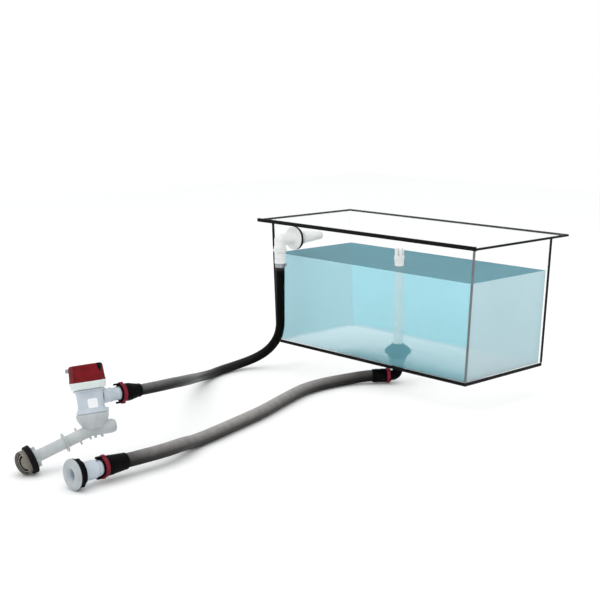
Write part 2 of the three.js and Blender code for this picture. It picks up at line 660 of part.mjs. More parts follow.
function addDrain(root) {
  const group = stand([DRAIN_X, DRAIN_Y, -TANK_HEIGHT], [0, 0, 1], [1, 0, 0]);
  root.add(group);
  put(group, "overflow_standpipe", standpipe(), WHITE_PLASTIC);
  put(group, "drain_body", drainBody(), BLACK_PLASTIC);
  const onTail = DRAIN_TAIL_RADIUS + SEAM;
  const gasketFoot = SHEET + SEAM;
  const gasket = tube(onTail, DRAIN_FOOT_RADIUS, gasketFoot, gasketFoot + GASKET_THICK);
  put(group, "drain_gasket", gasket, BLACK_RUBBER);
  const nut = rod(DRAIN_NUT_RADIUS, -SEAM - DRAIN_NUT_THICK, -SEAM, 6);
  const nutCut = rod(onTail, -DRAIN_NUT_THICK - SEAM - CUT, CUT);
  put(group, "drain_lock_nut", carved([nut], [nutCut]), BLACK_PLASTIC);

  const kneeHeight = -TANK_HEIGHT - DRAIN_ELBOW_DROP;
  const level = stand([DRAIN_X, DRAIN_Y, kneeHeight], [...DRAIN_HEADING, 0], [0, 0, 1]);
  root.add(level);
  const elbowTop = DRAIN_ELBOW_DROP - DRAIN_NUT_THICK - 2 * SEAM;
  const tailEnd = DRAIN_ADAPTER_REACH + ADAPTER_SOCKET - SEAM;
  const elbow = carved(
    [
      alongX(rod(DRAIN_ELBOW_RADIUS, 0, elbowTop)),
      ball(DRAIN_ELBOW_RADIUS, MEDIUM),
      rod(DRAIN_LEG_RADIUS, 0, tailEnd),
    ],
    [
      alongX(rod(onTail, DRAIN_ELBOW_DROP - DRAIN_TAIL - SEAM, elbowTop + CUT)),
      alongX(rod(DRAIN_BORE, 0, elbowTop, COARSE)),
      ball(DRAIN_BORE, COARSE),
      rod(DRAIN_BORE, 0, tailEnd + CUT, COARSE),
    ],
  );
  put(level, "drain_elbow", elbow, BLACK_PLASTIC);
  const aside = new THREE.Group();
  aside.rotation.set(0, 0, Math.PI / 2);
  level.add(aside);
  addAdapter(aside, "drain", DRAIN_ADAPTER_REACH, {
    tail: DRAIN_LEG_RADIUS,
    hose: DRAIN_HOSE_RADIUS,
    length: DRAIN_ADAPTER_LENGTH,
    ring: DRAIN_RING_RADIUS,
  });
}

// Hose adapter along Z from where its socket starts, with its quarter-turn ring. Its ears and
// the ring's lugs lie along X.
function addAdapter(group, name, start, { tail, hose, length, ring }) {
  const socket = tail + SEAM;
  const wall = socket + ADAPTER_WALL;
  const lip = wall + ADAPTER_LIP;
  const sleeve = hose + ADAPTER_SLEEVE_WALL;
  const wide = Math.max(lip, sleeve);
  const ringStart = start + ADAPTER_LIP_THICK + RUN;
  const shoulder = ringStart + RING_WIDE + RUN;
  const end = start + length;
  const water = Math.min(hose, tail) - ADAPTER_BORE_WALL;
  const stop = start + ADAPTER_SOCKET;
  const body = turned(
    [
      [socket, start], [lip, start], [lip, start + ADAPTER_LIP_THICK], [wall, start + ADAPTER_LIP_THICK],
      [wall, shoulder], [wide, shoulder], [wide, shoulder + ADAPTER_SHOULDER], [sleeve, end],
      [water, end], [water, stop], [socket, stop], [socket, start],
    ],
    MEDIUM,
  );
  const earMiddle = start + (ADAPTER_LIP_THICK - EAR_LONG) / 2;
  const ear = (angle) =>
    block(EAR_TALL, EAR_WIDE, EAR_LONG + ADAPTER_LIP_THICK, lip, 0, earMiddle).rotateZ(angle);
  const socketCut = rod(socket, start - EAR_LONG - CUT, stop);
  put(group, `${name}_adapter`, carved([body, ear(0), ear(Math.PI)], [socketCut]), BLACK_PLASTIC);
  const ringBore = wall + RUN;
  const lug = (angle) =>
    block(RING_LUG, RING_LUG_WIDE, RING_WIDE, ring, 0, ringStart + RING_WIDE / 2).rotateZ(angle);
  const band = tube(ringBore, ring, ringStart, ringStart + RING_WIDE);
  put(group, `${name}_lock_ring`, carved([band, lug(0), lug(Math.PI)], []), CRIMSON_PLASTIC);
}

// Mushroom outlet: Z points from the head towards the hose
function addOutlet(root) {
  const group = stand([OUTLET_X, OUTLET_Y, OUTLET_Z], [0, 1, 0], [0, 0, 1]);
  root.add(group);
  const adapterStart = OUTLET_TUBE + OUTLET_NECK;
  const tailEnd = adapterStart + ADAPTER_SOCKET - SEAM;
  const head = turned(
    [
      [OUTLET_BORE, tailEnd], [OUTLET_BORE, -HEAD_DOME / 2], [OUTLET_BORE + HEAD_LEAD, -HEAD_DOME],
      [HEAD_RADIUS / 2, -HEAD_DOME],
      [HEAD_RADIUS * HEAD_BROW_SHARE, -(HEAD_DOME + HEAD_EDGE) / 2],
      [HEAD_RADIUS, -HEAD_EDGE], [HEAD_RADIUS, 0], [OUTLET_TUBE_RADIUS, 0],
      [OUTLET_TUBE_RADIUS, OUTLET_TUBE], [OUTLET_TAIL_RADIUS, OUTLET_TUBE],
      [OUTLET_TAIL_RADIUS, tailEnd], [OUTLET_BORE, tailEnd],
    ],
    FINE,
  );
  put(group, "outlet_mushroom", head, WHITE_PLASTIC);
  const onTube = OUTLET_TUBE_RADIUS + SEAM;
  const sealEnd = SEAM + OUTLET_SEAL_THICK;
  const seal = tube(onTube, OUTLET_SEAL_RADIUS, SEAM, sealEnd, FINE);
  put(group, "outlet_seal", seal, BLACK_RUBBER);
  const nutStart = sealEnd + SEAM;
  const nutEnd = nutStart + OUTLET_NUT_THICK;
  const nut = turned(
    [
      [onTube, nutStart], [OUTLET_NUT_RADIUS, nutStart],
      [OUTLET_NUT_RADIUS, nutEnd - OUTLET_NUT_CHAMFER],
      [OUTLET_NUT_RADIUS - OUTLET_NUT_CHAMFER, nutEnd], [onTube, nutEnd], [onTube, nutStart],
    ],
    8,
  );
  const bored = rod(onTube, nutStart - CUT, nutEnd + CUT, FINE);
  put(group, "outlet_nut", carved([nut], [bored]), BLACK_PLASTIC);
  addAdapter(group, "outlet", adapterStart, {
    tail: OUTLET_TAIL_RADIUS,
    hose: DRAIN_HOSE_RADIUS,
    length: OUTLET_ADAPTER_LENGTH,
    ring: OUTLET_RING_RADIUS,
  });
}

// Pump: Z is its upright axis, and X lies over the intake barrel
const radians = THREE.MathUtils.degToRad;
const AXIS_PORT = 2 * STUB_RADIUS; // how far the port's cut runs past the barrel's axis

// Lays a shape made along Z along the intake barrel, which drops away from X
const alongIntake = (geometry) => alongX(geometry).rotateY(radians(INTAKE_DROP));

function addBarrel(group) {
  const root = BARREL_RADIUS * ROOT_SHARE;
  const lugTall = LUG_TALL + BARREL_RADIUS - root;
  const lug = (side) =>
    block(LUG_WIDE, LUG_WIDE, lugTall, LUG_PLACE, 0, side * (root + lugTall / 2))
      .rotateY(radians(INTAKE_DROP));
  const ribRoot = STUB_RADIUS * ROOT_SHARE;
  const ribTall = RIB_TALL + STUB_RADIUS - ribRoot;
  const rib = (place) => block(RIB_WIDE, BARREL_RADIUS, ribTall, place, 0, -ribRoot - ribTall / 2);
  const barrel = carved(
    [
      alongIntake(rod(BARREL_RADIUS, 0, BARREL_REACH, FINE)),
      alongX(rod(STUB_RADIUS, -STUB_REACH, 0, FINE)),
      ball(STUB_RADIUS, FINE).rotateX(Math.PI / 2),
      lug(1), lug(-1), rib(0), rib(-RIB_STEP),
    ],
    [
      alongIntake(rod(BARREL_BORE, 0, BARREL_REACH + CUT)),
      alongX(rod(BARREL_BORE, -STUB_REACH - CUT, 0)),
      ball(BARREL_BORE, MEDIUM),
      rod(PORT_RADIUS, 0, AXIS_PORT, COARSE),
    ],
  );
  put(group, "intake_barrel", barrel, PUMP_PLASTIC);
  const face = -STUB_REACH - SEAM;
  const plug = turned(
    [
      [0, face - PLUG_THICK], [PLUG_NOSE_RADIUS, face - PLUG_THICK],
      [STUB_RADIUS, face - PLUG_THICK / 2], [STUB_RADIUS, face], [BARREL_BORE - SEAM, face],
      [BARREL_BORE - SEAM, face + PLUG_DEEP], [0, face + PLUG_DEEP],
    ],
    MEDIUM,
  );
  put(group, "intake_end_plug", alongX(plug), PUMP_PLASTIC);
  const onBarrel = BARREL_RADIUS + SEAM;
  const collar = tube(onBarrel, COLLAR_RADIUS, COLLAR_PLACE, COLLAR_PLACE + COLLAR_THICK);
  put(group, "intake_collar", alongIntake(collar), PUMP_PLASTIC);
  const strainerStart = BARREL_REACH - STRAINER_GRIP;
  const sealEnd = strainerStart - SEAM;
  const sealStart = sealEnd - INTAKE_SEAL_THICK;
  const nutEnd = sealStart - SEAM;
  const nutStart = nutEnd - NUT_THICK;
  const nutMiddle = (nutStart + nutEnd) / 2;
  const wings = block(2 * (NUT_RADIUS + NUT_WING), NUT_WING_WIDE, NUT_THICK, 0, 0, nutMiddle);
  const nutCut = rod(onBarrel, nutStart - CUT, nutEnd + CUT);
  const nut = carved([rod(NUT_RADIUS, nutStart, nutEnd), wings], [nutCut]);
  put(group, "intake_nut", alongIntake(nut), PUMP_PLASTIC);
  const seal = tube(onBarrel, INTAKE_SEAL_RADIUS, sealStart, sealEnd, FINE);
  put(group, "intake_seal", alongIntake(seal), BLACK_RUBBER);
  put(group, "intake_strainer", alongIntake(strainer(strainerStart)), BRONZE_MESH);
}

// Slotted dome that is screwed on the barrel's open end
function strainer(start) {
  const onBarrel = BARREL_RADIUS + SEAM;
  const inner = STRAINER_RADIUS - STRAINER_WALL;
  const waist = start + STRAINER_SIDE;
  const top = waist + STRAINER_DOME;
  const arc = (radius, rise) =>
    Array.from({ length: DOME_STEPS }, (_, i) => {
      const angle = ((Math.PI / 2) * i) / DOME_STEPS;
      return [radius * Math.cos(angle), waist + rise * Math.sin(angle)];
    });
  const shell = turned(
    [
      [onBarrel, start], [STRAINER_RADIUS, start], ...arc(STRAINER_RADIUS, STRAINER_DOME),
      [0, top], [0, top - STRAINER_WALL], ...arc(inner, STRAINER_DOME - STRAINER_WALL).reverse(),
      [inner, start + STRAINER_FLOOR], [onBarrel, start + STRAINER_FLOOR], [onBarrel, start],
    ],
    FINE,
  );
  const slotLow = start + STRAINER_SLOT_LOW;
  const slotTall = top + CUT - slotLow;
  const slots = [];
  for (let i = 0; i < STRAINER_SLOTS; i += 1) {
    const y = (i - (STRAINER_SLOTS - 1) / 2) * STRAINER_SLOT_STEP;
    const long = 2 * (STRAINER_RADIUS + CUT);
    slots.push(block(long, STRAINER_SLOT_WIDE, slotTall, 0, y, slotLow + slotTall / 2));
  }
  return carved([shell], slots);
}

function addHousing(group) {
  const discharge = (geometry) =>
    alongX(geometry).rotateZ(radians(DISCHARGE_TURN)).translate(0, 0, DISCHARGE_HEIGHT);
  const tailEnd = PUMP_ADAPTER_REACH + ADAPTER_SOCKET - SEAM;
  const body = turned(
    [
      [0, 0], [BOWL_FOOT_RADIUS, 0], [BOWL_MIDDLE_RADIUS, BOWL_MIDDLE],
      [BOWL_SHOULDER_RADIUS, BOWL_SHOULDER], [FLARE_RADIUS, FLARE_LOW], [FLARE_RADIUS, FLARE_HIGH],
      [SKIRT_RADIUS, SKIRT_TOP], [WAIST_RADIUS, WAIST], [BODY_RADIUS, BODY_TOP],
      [SEAT_RADIUS, SEAT_LOW], [SEAT_RADIUS, SEAT_TOP], [0, SEAT_TOP],
    ],
    FINE,
  );
  const cavity = turned(
    [
      [0, CAVITY_FLOOR], [CAVITY_FLOOR_RADIUS, CAVITY_FLOOR],
      [CAVITY_LOW_RADIUS, CAVITY_FLOOR + CAVITY_RISE], [CAVITY_LOW_RADIUS, CAVITY_STEP],
      [CAVITY_RADIUS, CAVITY_STEP + SEAM], [CAVITY_RADIUS, SEAT_TOP + CUT], [0, SEAT_TOP + CUT],
    ],
    FINE,
  );
  const housing = carved(
    [body, discharge(rod(DISCHARGE_RADIUS, CAVITY_RADIUS + SEAM, tailEnd))],
    [
      cavity,
      alongIntake(rod(BARREL_RADIUS + SEAM, 0, BARREL_REACH, FINE)),
      alongX(rod(STUB_RADIUS + SEAM, -2 * STUB_REACH, 0, FINE)),
      ball(STUB_RADIUS + SEAM, FINE).rotateX(Math.PI / 2),
      rod(PORT_RADIUS, 0, CAVITY_FLOOR + CUT, COARSE),
      discharge(rod(DISCHARGE_BORE, CAVITY_LOW_RADIUS, tailEnd + CUT, COARSE)),
    ],
  );
  put(group, "pump_housing", housing, PUMP_PLASTIC);
  const nozzle = new THREE.Group();
  nozzle.position.set(0, 0, DISCHARGE_HEIGHT);
  nozzle.rotation.set(0, Math.PI / 2, 0);
  const swing = new THREE.Group();
  swing.rotation.set(0, 0, radians(DISCHARGE_TURN));
  group.add(swing.add(nozzle));
  addAdapter(nozzle, "pump", PUMP_ADAPTER_REACH, {
    tail: DISCHARGE_RADIUS,
    hose: FILL_HOSE_RADIUS,
    length: PUMP_ADAPTER_LENGTH,
    ring: PUMP_RING_RADIUS,
  });
}

const CAP_LOW = SEAT_TOP + LOCK_TALL + SEAM + RUN;
const CAP_TOP = CAP_LOW + CAP_TALL;
const CAN_TOP = CAP_TOP - CAP_ROOF - SEAM;

function addCap(group) {
  const lockLow = SEAT_TOP + SEAM;
  const collar = turned(
    [
      [LOCK_BORE, lockLow], [LOCK_LOW_RADIUS, lockLow], [LOCK_TOP_RADIUS, lockLow + LOCK_TALL],
      [LOCK_BORE, lockLow + LOCK_TALL], [LOCK_BORE, lockLow],
    ],
    FINE,
  );
  put(group, "pump_locking_collar", collar, WHITE_PLASTIC);
  const outline = (grown) =>
    turned(
      [
        [0, CAP_LOW], [CAP_RADIUS + grown, CAP_LOW],
        [CAP_TOP_RADIUS + grown, CAP_TOP - CAP_CHAMFER],
        [CAP_TOP_RADIUS - CAP_CHAMFER + grown, CAP_TOP], [0, CAP_TOP],
      ],
      CAP_SIDES,
    );
  const outside = outline(0);
  const glandFloor = CAP_TOP - GLAND_DEEP;
  const atGland = (geometry, low) =>
    geometry.translate(GLAND_PLACE, 0, low).rotateZ(radians(GLAND_TURN));
  const raised = (long, wide, tall) => block(long, wide, tall, 0, 0, tall / 2);
  const notch = atGland(raised(GLAND_LONG, GLAND_WIDE, GLAND_DEEP + CUT), glandFloor);
  const hollow = rod(CAP_TOP_RADIUS - CAP_CHAMFER - CAP_WALL, CAP_LOW - CUT, CAP_TOP - CAP_ROOF);
  const pocket = atGland(
    raised(GLAND_LONG + 2 * GLAND_WALL, GLAND_WIDE + 2 * GLAND_WALL, GLAND_DEEP + GLAND_WALL),
    glandFloor - GLAND_WALL,
  );
  const lining = surface(solid(pocket).intersect(solid(outside)));
  const shell = carved([outside], [hollow]);
  put(group, "motor_cap", carved([shell, lining], [notch]), RED_PLASTIC);
  const glandTall = GLAND_DEEP - SEAM + GLAND_PROUD;
  const gland = raised(GLAND_LONG - 2 * SEAM, GLAND_WIDE - 2 * SEAM, glandTall);
  const cableWay = alongX(rod(GLAND_BORE, 0, GLAND_LONG, COARSE)).translate(0, 0, GLAND_DEEP / 2);
  put(group, "cable_gland", atGland(carved([gland], [cableWay]), glandFloor + SEAM), BLACK_RUBBER);
  const tab = block(2 * TAB_THICK, TAB_WIDE, TAB_TALL, CAP_RADIUS, 0, TAB_HEIGHT);
  tab.rotateZ(radians(TAB_TURN));
  put(group, "lock_tab", carved([tab], [outline(SEAM)]), GREY_PLASTIC);
}

function addCartridge(group) {
  const flangeLow = SEAT_TOP + SEAM;
  const flangeTop = flangeLow + CAN_FLANGE_THICK;
  const grooveTop = GROOVE_LOW + RING_SECTION + 2 * SEAM;
  const roof = CAN_TOP - CAN_ROOF;
  const shaftWay = SHAFT_RADIUS + RUN;
  const can = turned(
    [
      [shaftWay, CAN_LOW], [CAN_RADIUS, CAN_LOW], [CAN_RADIUS, PLUG_LOW], [PLUG_RADIUS, PLUG_LOW],
      [PLUG_RADIUS, GROOVE_LOW], [GROOVE_FLOOR_RADIUS, GROOVE_LOW],
      [GROOVE_FLOOR_RADIUS, grooveTop], [PLUG_RADIUS, grooveTop], [PLUG_RADIUS, flangeLow],
      [CAN_FLANGE_RADIUS, flangeLow], [CAN_FLANGE_RADIUS, flangeTop], [CAN_RADIUS, flangeTop],
      [CAN_RADIUS, CAN_TOP], [0, CAN_TOP], [0, roof], [CAN_BORE, roof],
      [CAN_BORE, CAN_LOW + CAN_FLOOR], [shaftWay, CAN_LOW + CAN_FLOOR], [shaftWay, CAN_LOW],
    ],
    FINE,
  );
  put(group, "motor_can", can, STEEL);
  const ringLow = GROOVE_LOW + SEAM;
  const ringTop = ringLow + RING_SECTION;
  const oRing = tube(GROOVE_FLOOR_RADIUS + SEAM, CAVITY_RADIUS - SEAM, ringLow, ringTop, FINE);
  put(group, "cartridge_o_ring", oRing, BLACK_RUBBER);
  const onShaft = SHAFT_RADIUS + SEAM;
  const ceiling = roof - SEAM;
  const floor = CAN_LOW + CAN_FLOOR + SEAM;
  const bearing = (low) => tube(onShaft, BEARING_RADIUS, low, low + BEARING_TALL);
  put(group, "upper_bearing", bearing(ceiling - BEARING_TALL), STEEL);
  put(group, "lower_bearing", bearing(floor), STEEL);
  const sealTop = CAN_LOW - SEAM;
  const seal = tube(onShaft, SHAFT_SEAL_RADIUS, sealTop - SHAFT_SEAL_TALL, sealTop);
  put(group, "shaft_seal", seal, BLACK_RUBBER);
  const armatureTop = ARMATURE_LOW + ARMATURE_TALL;
  const armatureMiddle = (ARMATURE_LOW + armatureTop) / 2;
  const slotTall = ARMATURE_TALL + 2 * CUT;
  const slot = (angle) =>
    block(2 * ARMATURE_SLOT_DEEP, ARMATURE_SLOT_WIDE, slotTall, ARMATURE_RADIUS, 0, armatureMiddle)
      .rotateZ(angle);
  const armature = carved(
    [rod(ARMATURE_RADIUS, ARMATURE_LOW, armatureTop)],
    [...around(ARMATURE_SLOTS, slot), rod(onShaft, ARMATURE_LOW - CUT, armatureTop + CUT, COARSE)],
  );
  put(group, "motor_armature", armature, STEEL);
  put(group, "motor_shaft", rod(SHAFT_RADIUS, SHAFT_LOW, roof - SHAFT_TOP_GAP, COARSE), STEEL);
  put(group, "impeller", impeller(), GREY_PLASTIC);
}

function impeller() {
  const discLow = IMPELLER_LOW + IMPELLER_VANE_TALL;
  const onShaft = SHAFT_RADIUS + SEAM;
  const hubTop = IMPELLER_LOW + IMPELLER_HUB_TALL;
  const inner = IMPELLER_HUB / 2;
  const vaneTall = IMPELLER_VANE_TALL + SEAM;
  const vaneMiddle = IMPELLER_LOW + vaneTall / 2;
  const vane = (angle) =>
    block(IMPELLER_RADIUS - inner, VANE_THICK, vaneTall, (IMPELLER_RADIUS + inner) / 2, 0, vaneMiddle)
      .rotateZ(angle);
  return carved(
    [
      rod(IMPELLER_RADIUS, discLow, discLow + IMPELLER_DISC, FINE),
      rod(IMPELLER_HUB, IMPELLER_LOW, hubTop, COARSE),
      ...around(IMPELLER_VANES, vane),
    ],
    [rod(onShaft, IMPELLER_LOW - CUT, hubTop + CUT, COARSE)],
  );
}

function addPump(root) {
  const group = stand(PUMP_ORIGIN, PUMP_UPRIGHT, INTAKE_SIDE);
  root.add(group);
  addBarrel(group);
  addHousing(group);
  addCap(group);
  addCartridge(group);
}

// A hose along its route
function addHose(group, name, route, radius, steps, look) {
  const path = new THREE.CatmullRomCurve3(route.map((point) => new THREE.Vector3(...point)));
  const corner = (angle) => new THREE.Vector2(radius * Math.cos(angle), radius * Math.sin(angle));
  const section = new THREE.Shape(around(HOSE_SIDES, corner));
  const hose = new THREE.ExtrudeGeometry(section, { steps, extrudePath: path, bevelEnabled: false });
  put(group, name, hose, look);
}

const group = new THREE.Group();
addTankPanels(group);
addRim(group);
addStrips(group);
addFillFitting(group);
addDrain(group);
addOutlet(group);
addPump(group);
addHose(group, "fill_hose", FILL_ROUTE, FILL_HOSE_RADIUS, FILL_STEPS, HOSE_DARK);
addHose(group, "drain_hose", DRAIN_ROUTE, DRAIN_HOSE_RADIUS, DRAIN_STEPS, HOSE_GREY);

export default group;
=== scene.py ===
# %% [markdown]
# # A live bait well
# A clear tank drops into a boat's deck and hangs by its rim. A cartridge pump under the
# hull pushes water through the fill hose to an elbow and a perforated nozzle, and a
# standpipe keeps the level and sends the overflow down the drain hose to a mushroom outlet.
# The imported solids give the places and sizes. This lesson dresses them, piece by piece.

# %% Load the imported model
import json
import math

import bmesh
import bpy
from mathutils import Matrix, Vector


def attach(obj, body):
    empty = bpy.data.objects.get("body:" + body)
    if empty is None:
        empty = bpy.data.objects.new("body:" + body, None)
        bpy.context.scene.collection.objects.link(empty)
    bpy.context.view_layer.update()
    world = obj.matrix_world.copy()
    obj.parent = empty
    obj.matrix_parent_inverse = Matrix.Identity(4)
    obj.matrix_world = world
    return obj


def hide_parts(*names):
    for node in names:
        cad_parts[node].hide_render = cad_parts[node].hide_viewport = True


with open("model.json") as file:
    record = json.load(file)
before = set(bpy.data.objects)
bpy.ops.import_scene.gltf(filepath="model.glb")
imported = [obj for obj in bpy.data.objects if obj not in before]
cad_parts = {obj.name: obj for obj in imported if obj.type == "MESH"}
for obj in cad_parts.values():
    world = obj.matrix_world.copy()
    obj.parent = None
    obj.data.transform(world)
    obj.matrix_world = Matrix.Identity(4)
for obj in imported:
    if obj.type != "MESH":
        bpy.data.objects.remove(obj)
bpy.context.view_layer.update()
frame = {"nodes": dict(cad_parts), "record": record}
MM = 0.001


def shown(name, data):
    made = bpy.data.objects.new(name, data)
    bpy.context.scene.collection.objects.link(made)
    return made


# %% [markdown]
# The camera stands to the right of the tank's front and looks down a little. Its place and
# lens were worked out from the tank's corners and the rim in the picture.

# %% Camera
camera_data = bpy.data.cameras.new("camera")
camera_data.sensor_width = 36
camera_data.lens = 71.87
camera_data.clip_end = 50
camera = shown("camera", camera_data)
camera.location = (2.2458, -2.4980, 0.4327)
camera.rotation_euler = (math.radians(79.205), 0, math.radians(47.02))
bpy.context.scene.camera = camera
bpy.context.scene.view_settings.view_transform = "Standard"
print("camera at", tuple(camera.location))

# %% [markdown]
# ## Small tools
# A mesh is made in millimetres about its own axis, and is then carried to its place on the
# object, so that every finished object stays at the origin. A turned piece could be made
# with the Screw modifier, but building its rings in code lets each corner of the outline
# get the small radius that a moulding has, which is what catches the light.

# %% Places on the object
def place(origin, along, across):
    z = Vector(along).normalized()
    y = z.cross(Vector(across)).normalized()
    spot = Matrix((y.cross(z), y, z)).transposed().to_4x4()
    spot.translation = Vector(origin) * MM
    return spot


PUMP_UP = Vector((-0.2712, 0.0444, 0.9615))
INTAKE_SIDE = Vector((-0.3145, -0.9482, -0.0449))
DISCHARGE_WAY = Vector((0.09344, 0.99543, -0.01961))
PUMP_FOOT = Vector((62, -1087, -345.6))
AT_FILL = place((-277, -163, -40), (0, 1, 0), (1, 0, 0))
AT_DRAIN = place((44, -72, -358), (0, 0, 1), (1, 0, 0))
AT_DRAIN_LEG = place((44, -72, -404), (-0.6, -0.8, 0), (-0.8, 0.6, 0))
AT_OUTLET = place((180, -1218, -392), (0, 1, 0), (0, 0, 1))
AT_PUMP = place(PUMP_FOOT, PUMP_UP, INTAKE_SIDE)
TAIL_RISE = 68.4
AT_DISCHARGE = place(PUMP_FOOT + TAIL_RISE * PUMP_UP, DISCHARGE_WAY, PUMP_UP)
print("the pump leans", round(math.degrees(PUMP_UP.angle(Vector((0, 0, 1)))), 1), "degrees")


# %% Meshes from code
MERGED = 0.001
SHORTEST = 0.03


def mesh_object(mesh, name="shell"):
    bmesh.ops.remove_doubles(mesh, verts=mesh.verts, dist=MERGED)
    bmesh.ops.recalc_face_normals(mesh, faces=mesh.faces)
    data = bpy.data.meshes.new(name)
    mesh.to_mesh(data)
    mesh.free()
    return shown(name, data)


def rounded(points, radius, closed):
    corners = [Vector(point) for point in points]
    result = []
    for i, here in enumerate(corners):
        to_last = corners[i - 1] - here
        to_next = corners[(i + 1) % len(corners)] - here
        reach = min(radius, 0.45 * to_last.length, 0.45 * to_next.length)
        at_end = not closed and i in (0, len(corners) - 1)
        if at_end or reach < SHORTEST:
            result.append(here)
            continue
        start = here + to_last.normalized() * reach
        end = here + to_next.normalized() * reach
        for t in (0, 0.3, 0.7, 1):
            result.append(start * (1 - t) ** 2 + here * 2 * t * (1 - t) + end * t * t)
    return result


def turned(outline, fillet=0.7, sides=72):
    on_axis = outline[0][0] == 0
    mesh = bmesh.new()
    rings = []
    for radius, height in rounded(outline, fillet, not on_axis):
        count = sides if radius > MERGED else 1
        turns = [2 * math.pi * i / sides for i in range(count)]
        rings.append([mesh.verts.new((radius * math.cos(a), radius * math.sin(a), height)) for a in turns])
    neighbours = list(zip(rings, rings[1:]))
    if not on_axis:
        neighbours.append((rings[-1], rings[0]))
    for low, high in neighbours:
        for i in range(sides):
            j = (i + 1) % sides
            around = [low[i % len(low)], low[j % len(low)], high[j % len(high)], high[i % len(high)]]
            face = list(dict.fromkeys(around))
            if len(face) > 2:
                mesh.faces.new(face)
    return mesh_object(mesh)


def straight(inner, outer, low, high):
    """The outline of a plain rod or tube."""
    return [(inner, low), (outer, low), (outer, high), (inner, high)]


def ball(radius):
    arc = [math.pi * (i / 16 - 0.5) for i in range(1, 16)]
    return turned([(0, -radius), *[(radius * math.cos(a), radius * math.sin(a)) for a in arc], (0, radius)], 0)


def block(size, centre=(0, 0, 0), edge=0.5, turn=0):
    mesh = bmesh.new()
    bmesh.ops.create_cube(mesh, size=1, matrix=Matrix.Diagonal((*size, 1)))
    if edge:
        bmesh.ops.bevel(mesh, geom=mesh.edges[:], offset=edge, segments=2, affect="EDGES", profile=0.6)
    bmesh.ops.transform(mesh, matrix=Matrix.Rotation(turn, 4, "Z") @ Matrix.Translation(centre), verts=mesh.verts)
    return mesh_object(mesh)


def tube_rings(mesh, points, radius, sides):
    """Rings round a path, joined by faces and closed at both ends."""
    way = (points[1] - points[0]).normalized()
    side = way.orthogonal().normalized()
    turns = [2 * math.pi * k / sides for k in range(sides)]
    rings = []
    for i, point in enumerate(points):
        way = (points[min(i + 1, len(points) - 1)] - points[max(i - 1, 0)]).normalized()
        side = (side - way * side.dot(way)).normalized()
        other = way.cross(side)
        rings.append([mesh.verts.new(point + radius * (side * math.cos(a) + other * math.sin(a))) for a in turns])
    for low, high in zip(rings, rings[1:]):
        for k in range(sides):
            n = (k + 1) % sides
            mesh.faces.new((low[k], low[n], high[n], high[k]))
    mesh.faces.new(rings[0])
    mesh.faces.new(rings[-1])
    return rings


def swept(points, radius, sides):
    mesh = bmesh.new()
    tube_rings(mesh, points, radius, sides)
    return mesh_object(mesh)


def bend(start, corner, end, reach, steps=14):
    start, corner, end = Vector(start), Vector(corner), Vector(end)
    first = corner + (start - corner).normalized() * reach
    last = corner + (end - corner).normalized() * reach
    centre = first + last - corner
    arc = []
    for i in range(steps + 1):
        angle = i / steps * math.pi / 2
        arc.append(centre + (corner - last) * math.cos(angle) + (corner - first) * math.sin(angle))
    return [start, *arc, end]


print("mesh tools ready")


# %% Joining and cutting
def plain(source):
    bpy.context.view_layer.update()
    graph = bpy.context.evaluated_depsgraph_get()
    return shown(source.name, bpy.data.meshes.new_from_object(source.evaluated_get(graph), depsgraph=graph))


def drop(*unwanted):
    for item in unwanted:
        bpy.data.objects.remove(item, do_unlink=True)


def carved(base, joined=(), cut=()):
    for operation, tools in (("UNION", joined), ("DIFFERENCE", cut)):
        for tool in tools:
            change = base.modifiers.new(operation, "BOOLEAN")
            change.operation = operation
            change.object = tool
            change.solver = "EXACT"
    result = plain(base)
    drop(base, *joined, *cut)
    return result


def turned_to(item, matrix):
    item.data.transform(matrix)
    return item


TO_X = Matrix.Rotation(math.pi / 2, 4, "Y")
TRANSOM_DROP = math.radians(16.3)
TO_INTAKE = Matrix.Rotation(TRANSOM_DROP, 4, "Y") @ TO_X
print("joining tools ready")


# %% [markdown]
# ## Finishes
# Each finish is a node tree on Object coordinates. One function turns the hex colours to
# linear ones, and one adds a node with its settings and links.

# %% Node helpers
def linear(code):
    parts = [int(code[i : i + 2], 16) / 255 for i in (1, 3, 5)]
    return (*[p / 12.92 if p <= 0.04045 else ((p + 0.055) / 1.055) ** 2.4 for p in parts], 1)


def add(tree, kind, settings=None, inputs=None, stops=()):
    """A node with its settings, its inputs and a ramp's stops; a node as an input links its first output."""
    node = tree.nodes.new(kind)
    for key, value in (settings or {}).items():
        setattr(node, key, value)
    for key, value in (inputs or {}).items():
        if isinstance(value, bpy.types.Node):
            value = value.outputs[0]
        if isinstance(value, bpy.types.NodeSocket):
            tree.links.new(value, node.inputs[key])
        else:
            node.inputs[key].default_value = value
    for index, (share, colour) in enumerate(stops):
        elements = node.color_ramp.elements
        stop = elements[index] if index < len(elements) else elements.new(share)
        stop.position = share
        stop.color = linear(colour) if isinstance(colour, str) else (colour, colour, colour, 1)
    return node


def new_finish(name):
    material = bpy.data.materials.new(name)
    material.use_nodes = True
    material.node_tree.nodes.clear()
    return material, material.node_tree


def spread(first, last, low=0.35, high=0.65):
    """Two stops, hex colours or grey levels, where most of a noise lies."""
    return [(low, first), (high, last)]


print("white is", linear("#ffffff"))


# %% [markdown]
# Most pieces are injection moulded. Such a surface takes the mould's fine spark-eroded
# grain, and its colour drifts a little where the melt flowed. The real grain is about
# 0.1 mm across, too fine to show here, so it is drawn 0.8 mm across.

# %% Moulded plastic
GRAIN = 0.8
FLOW = 26


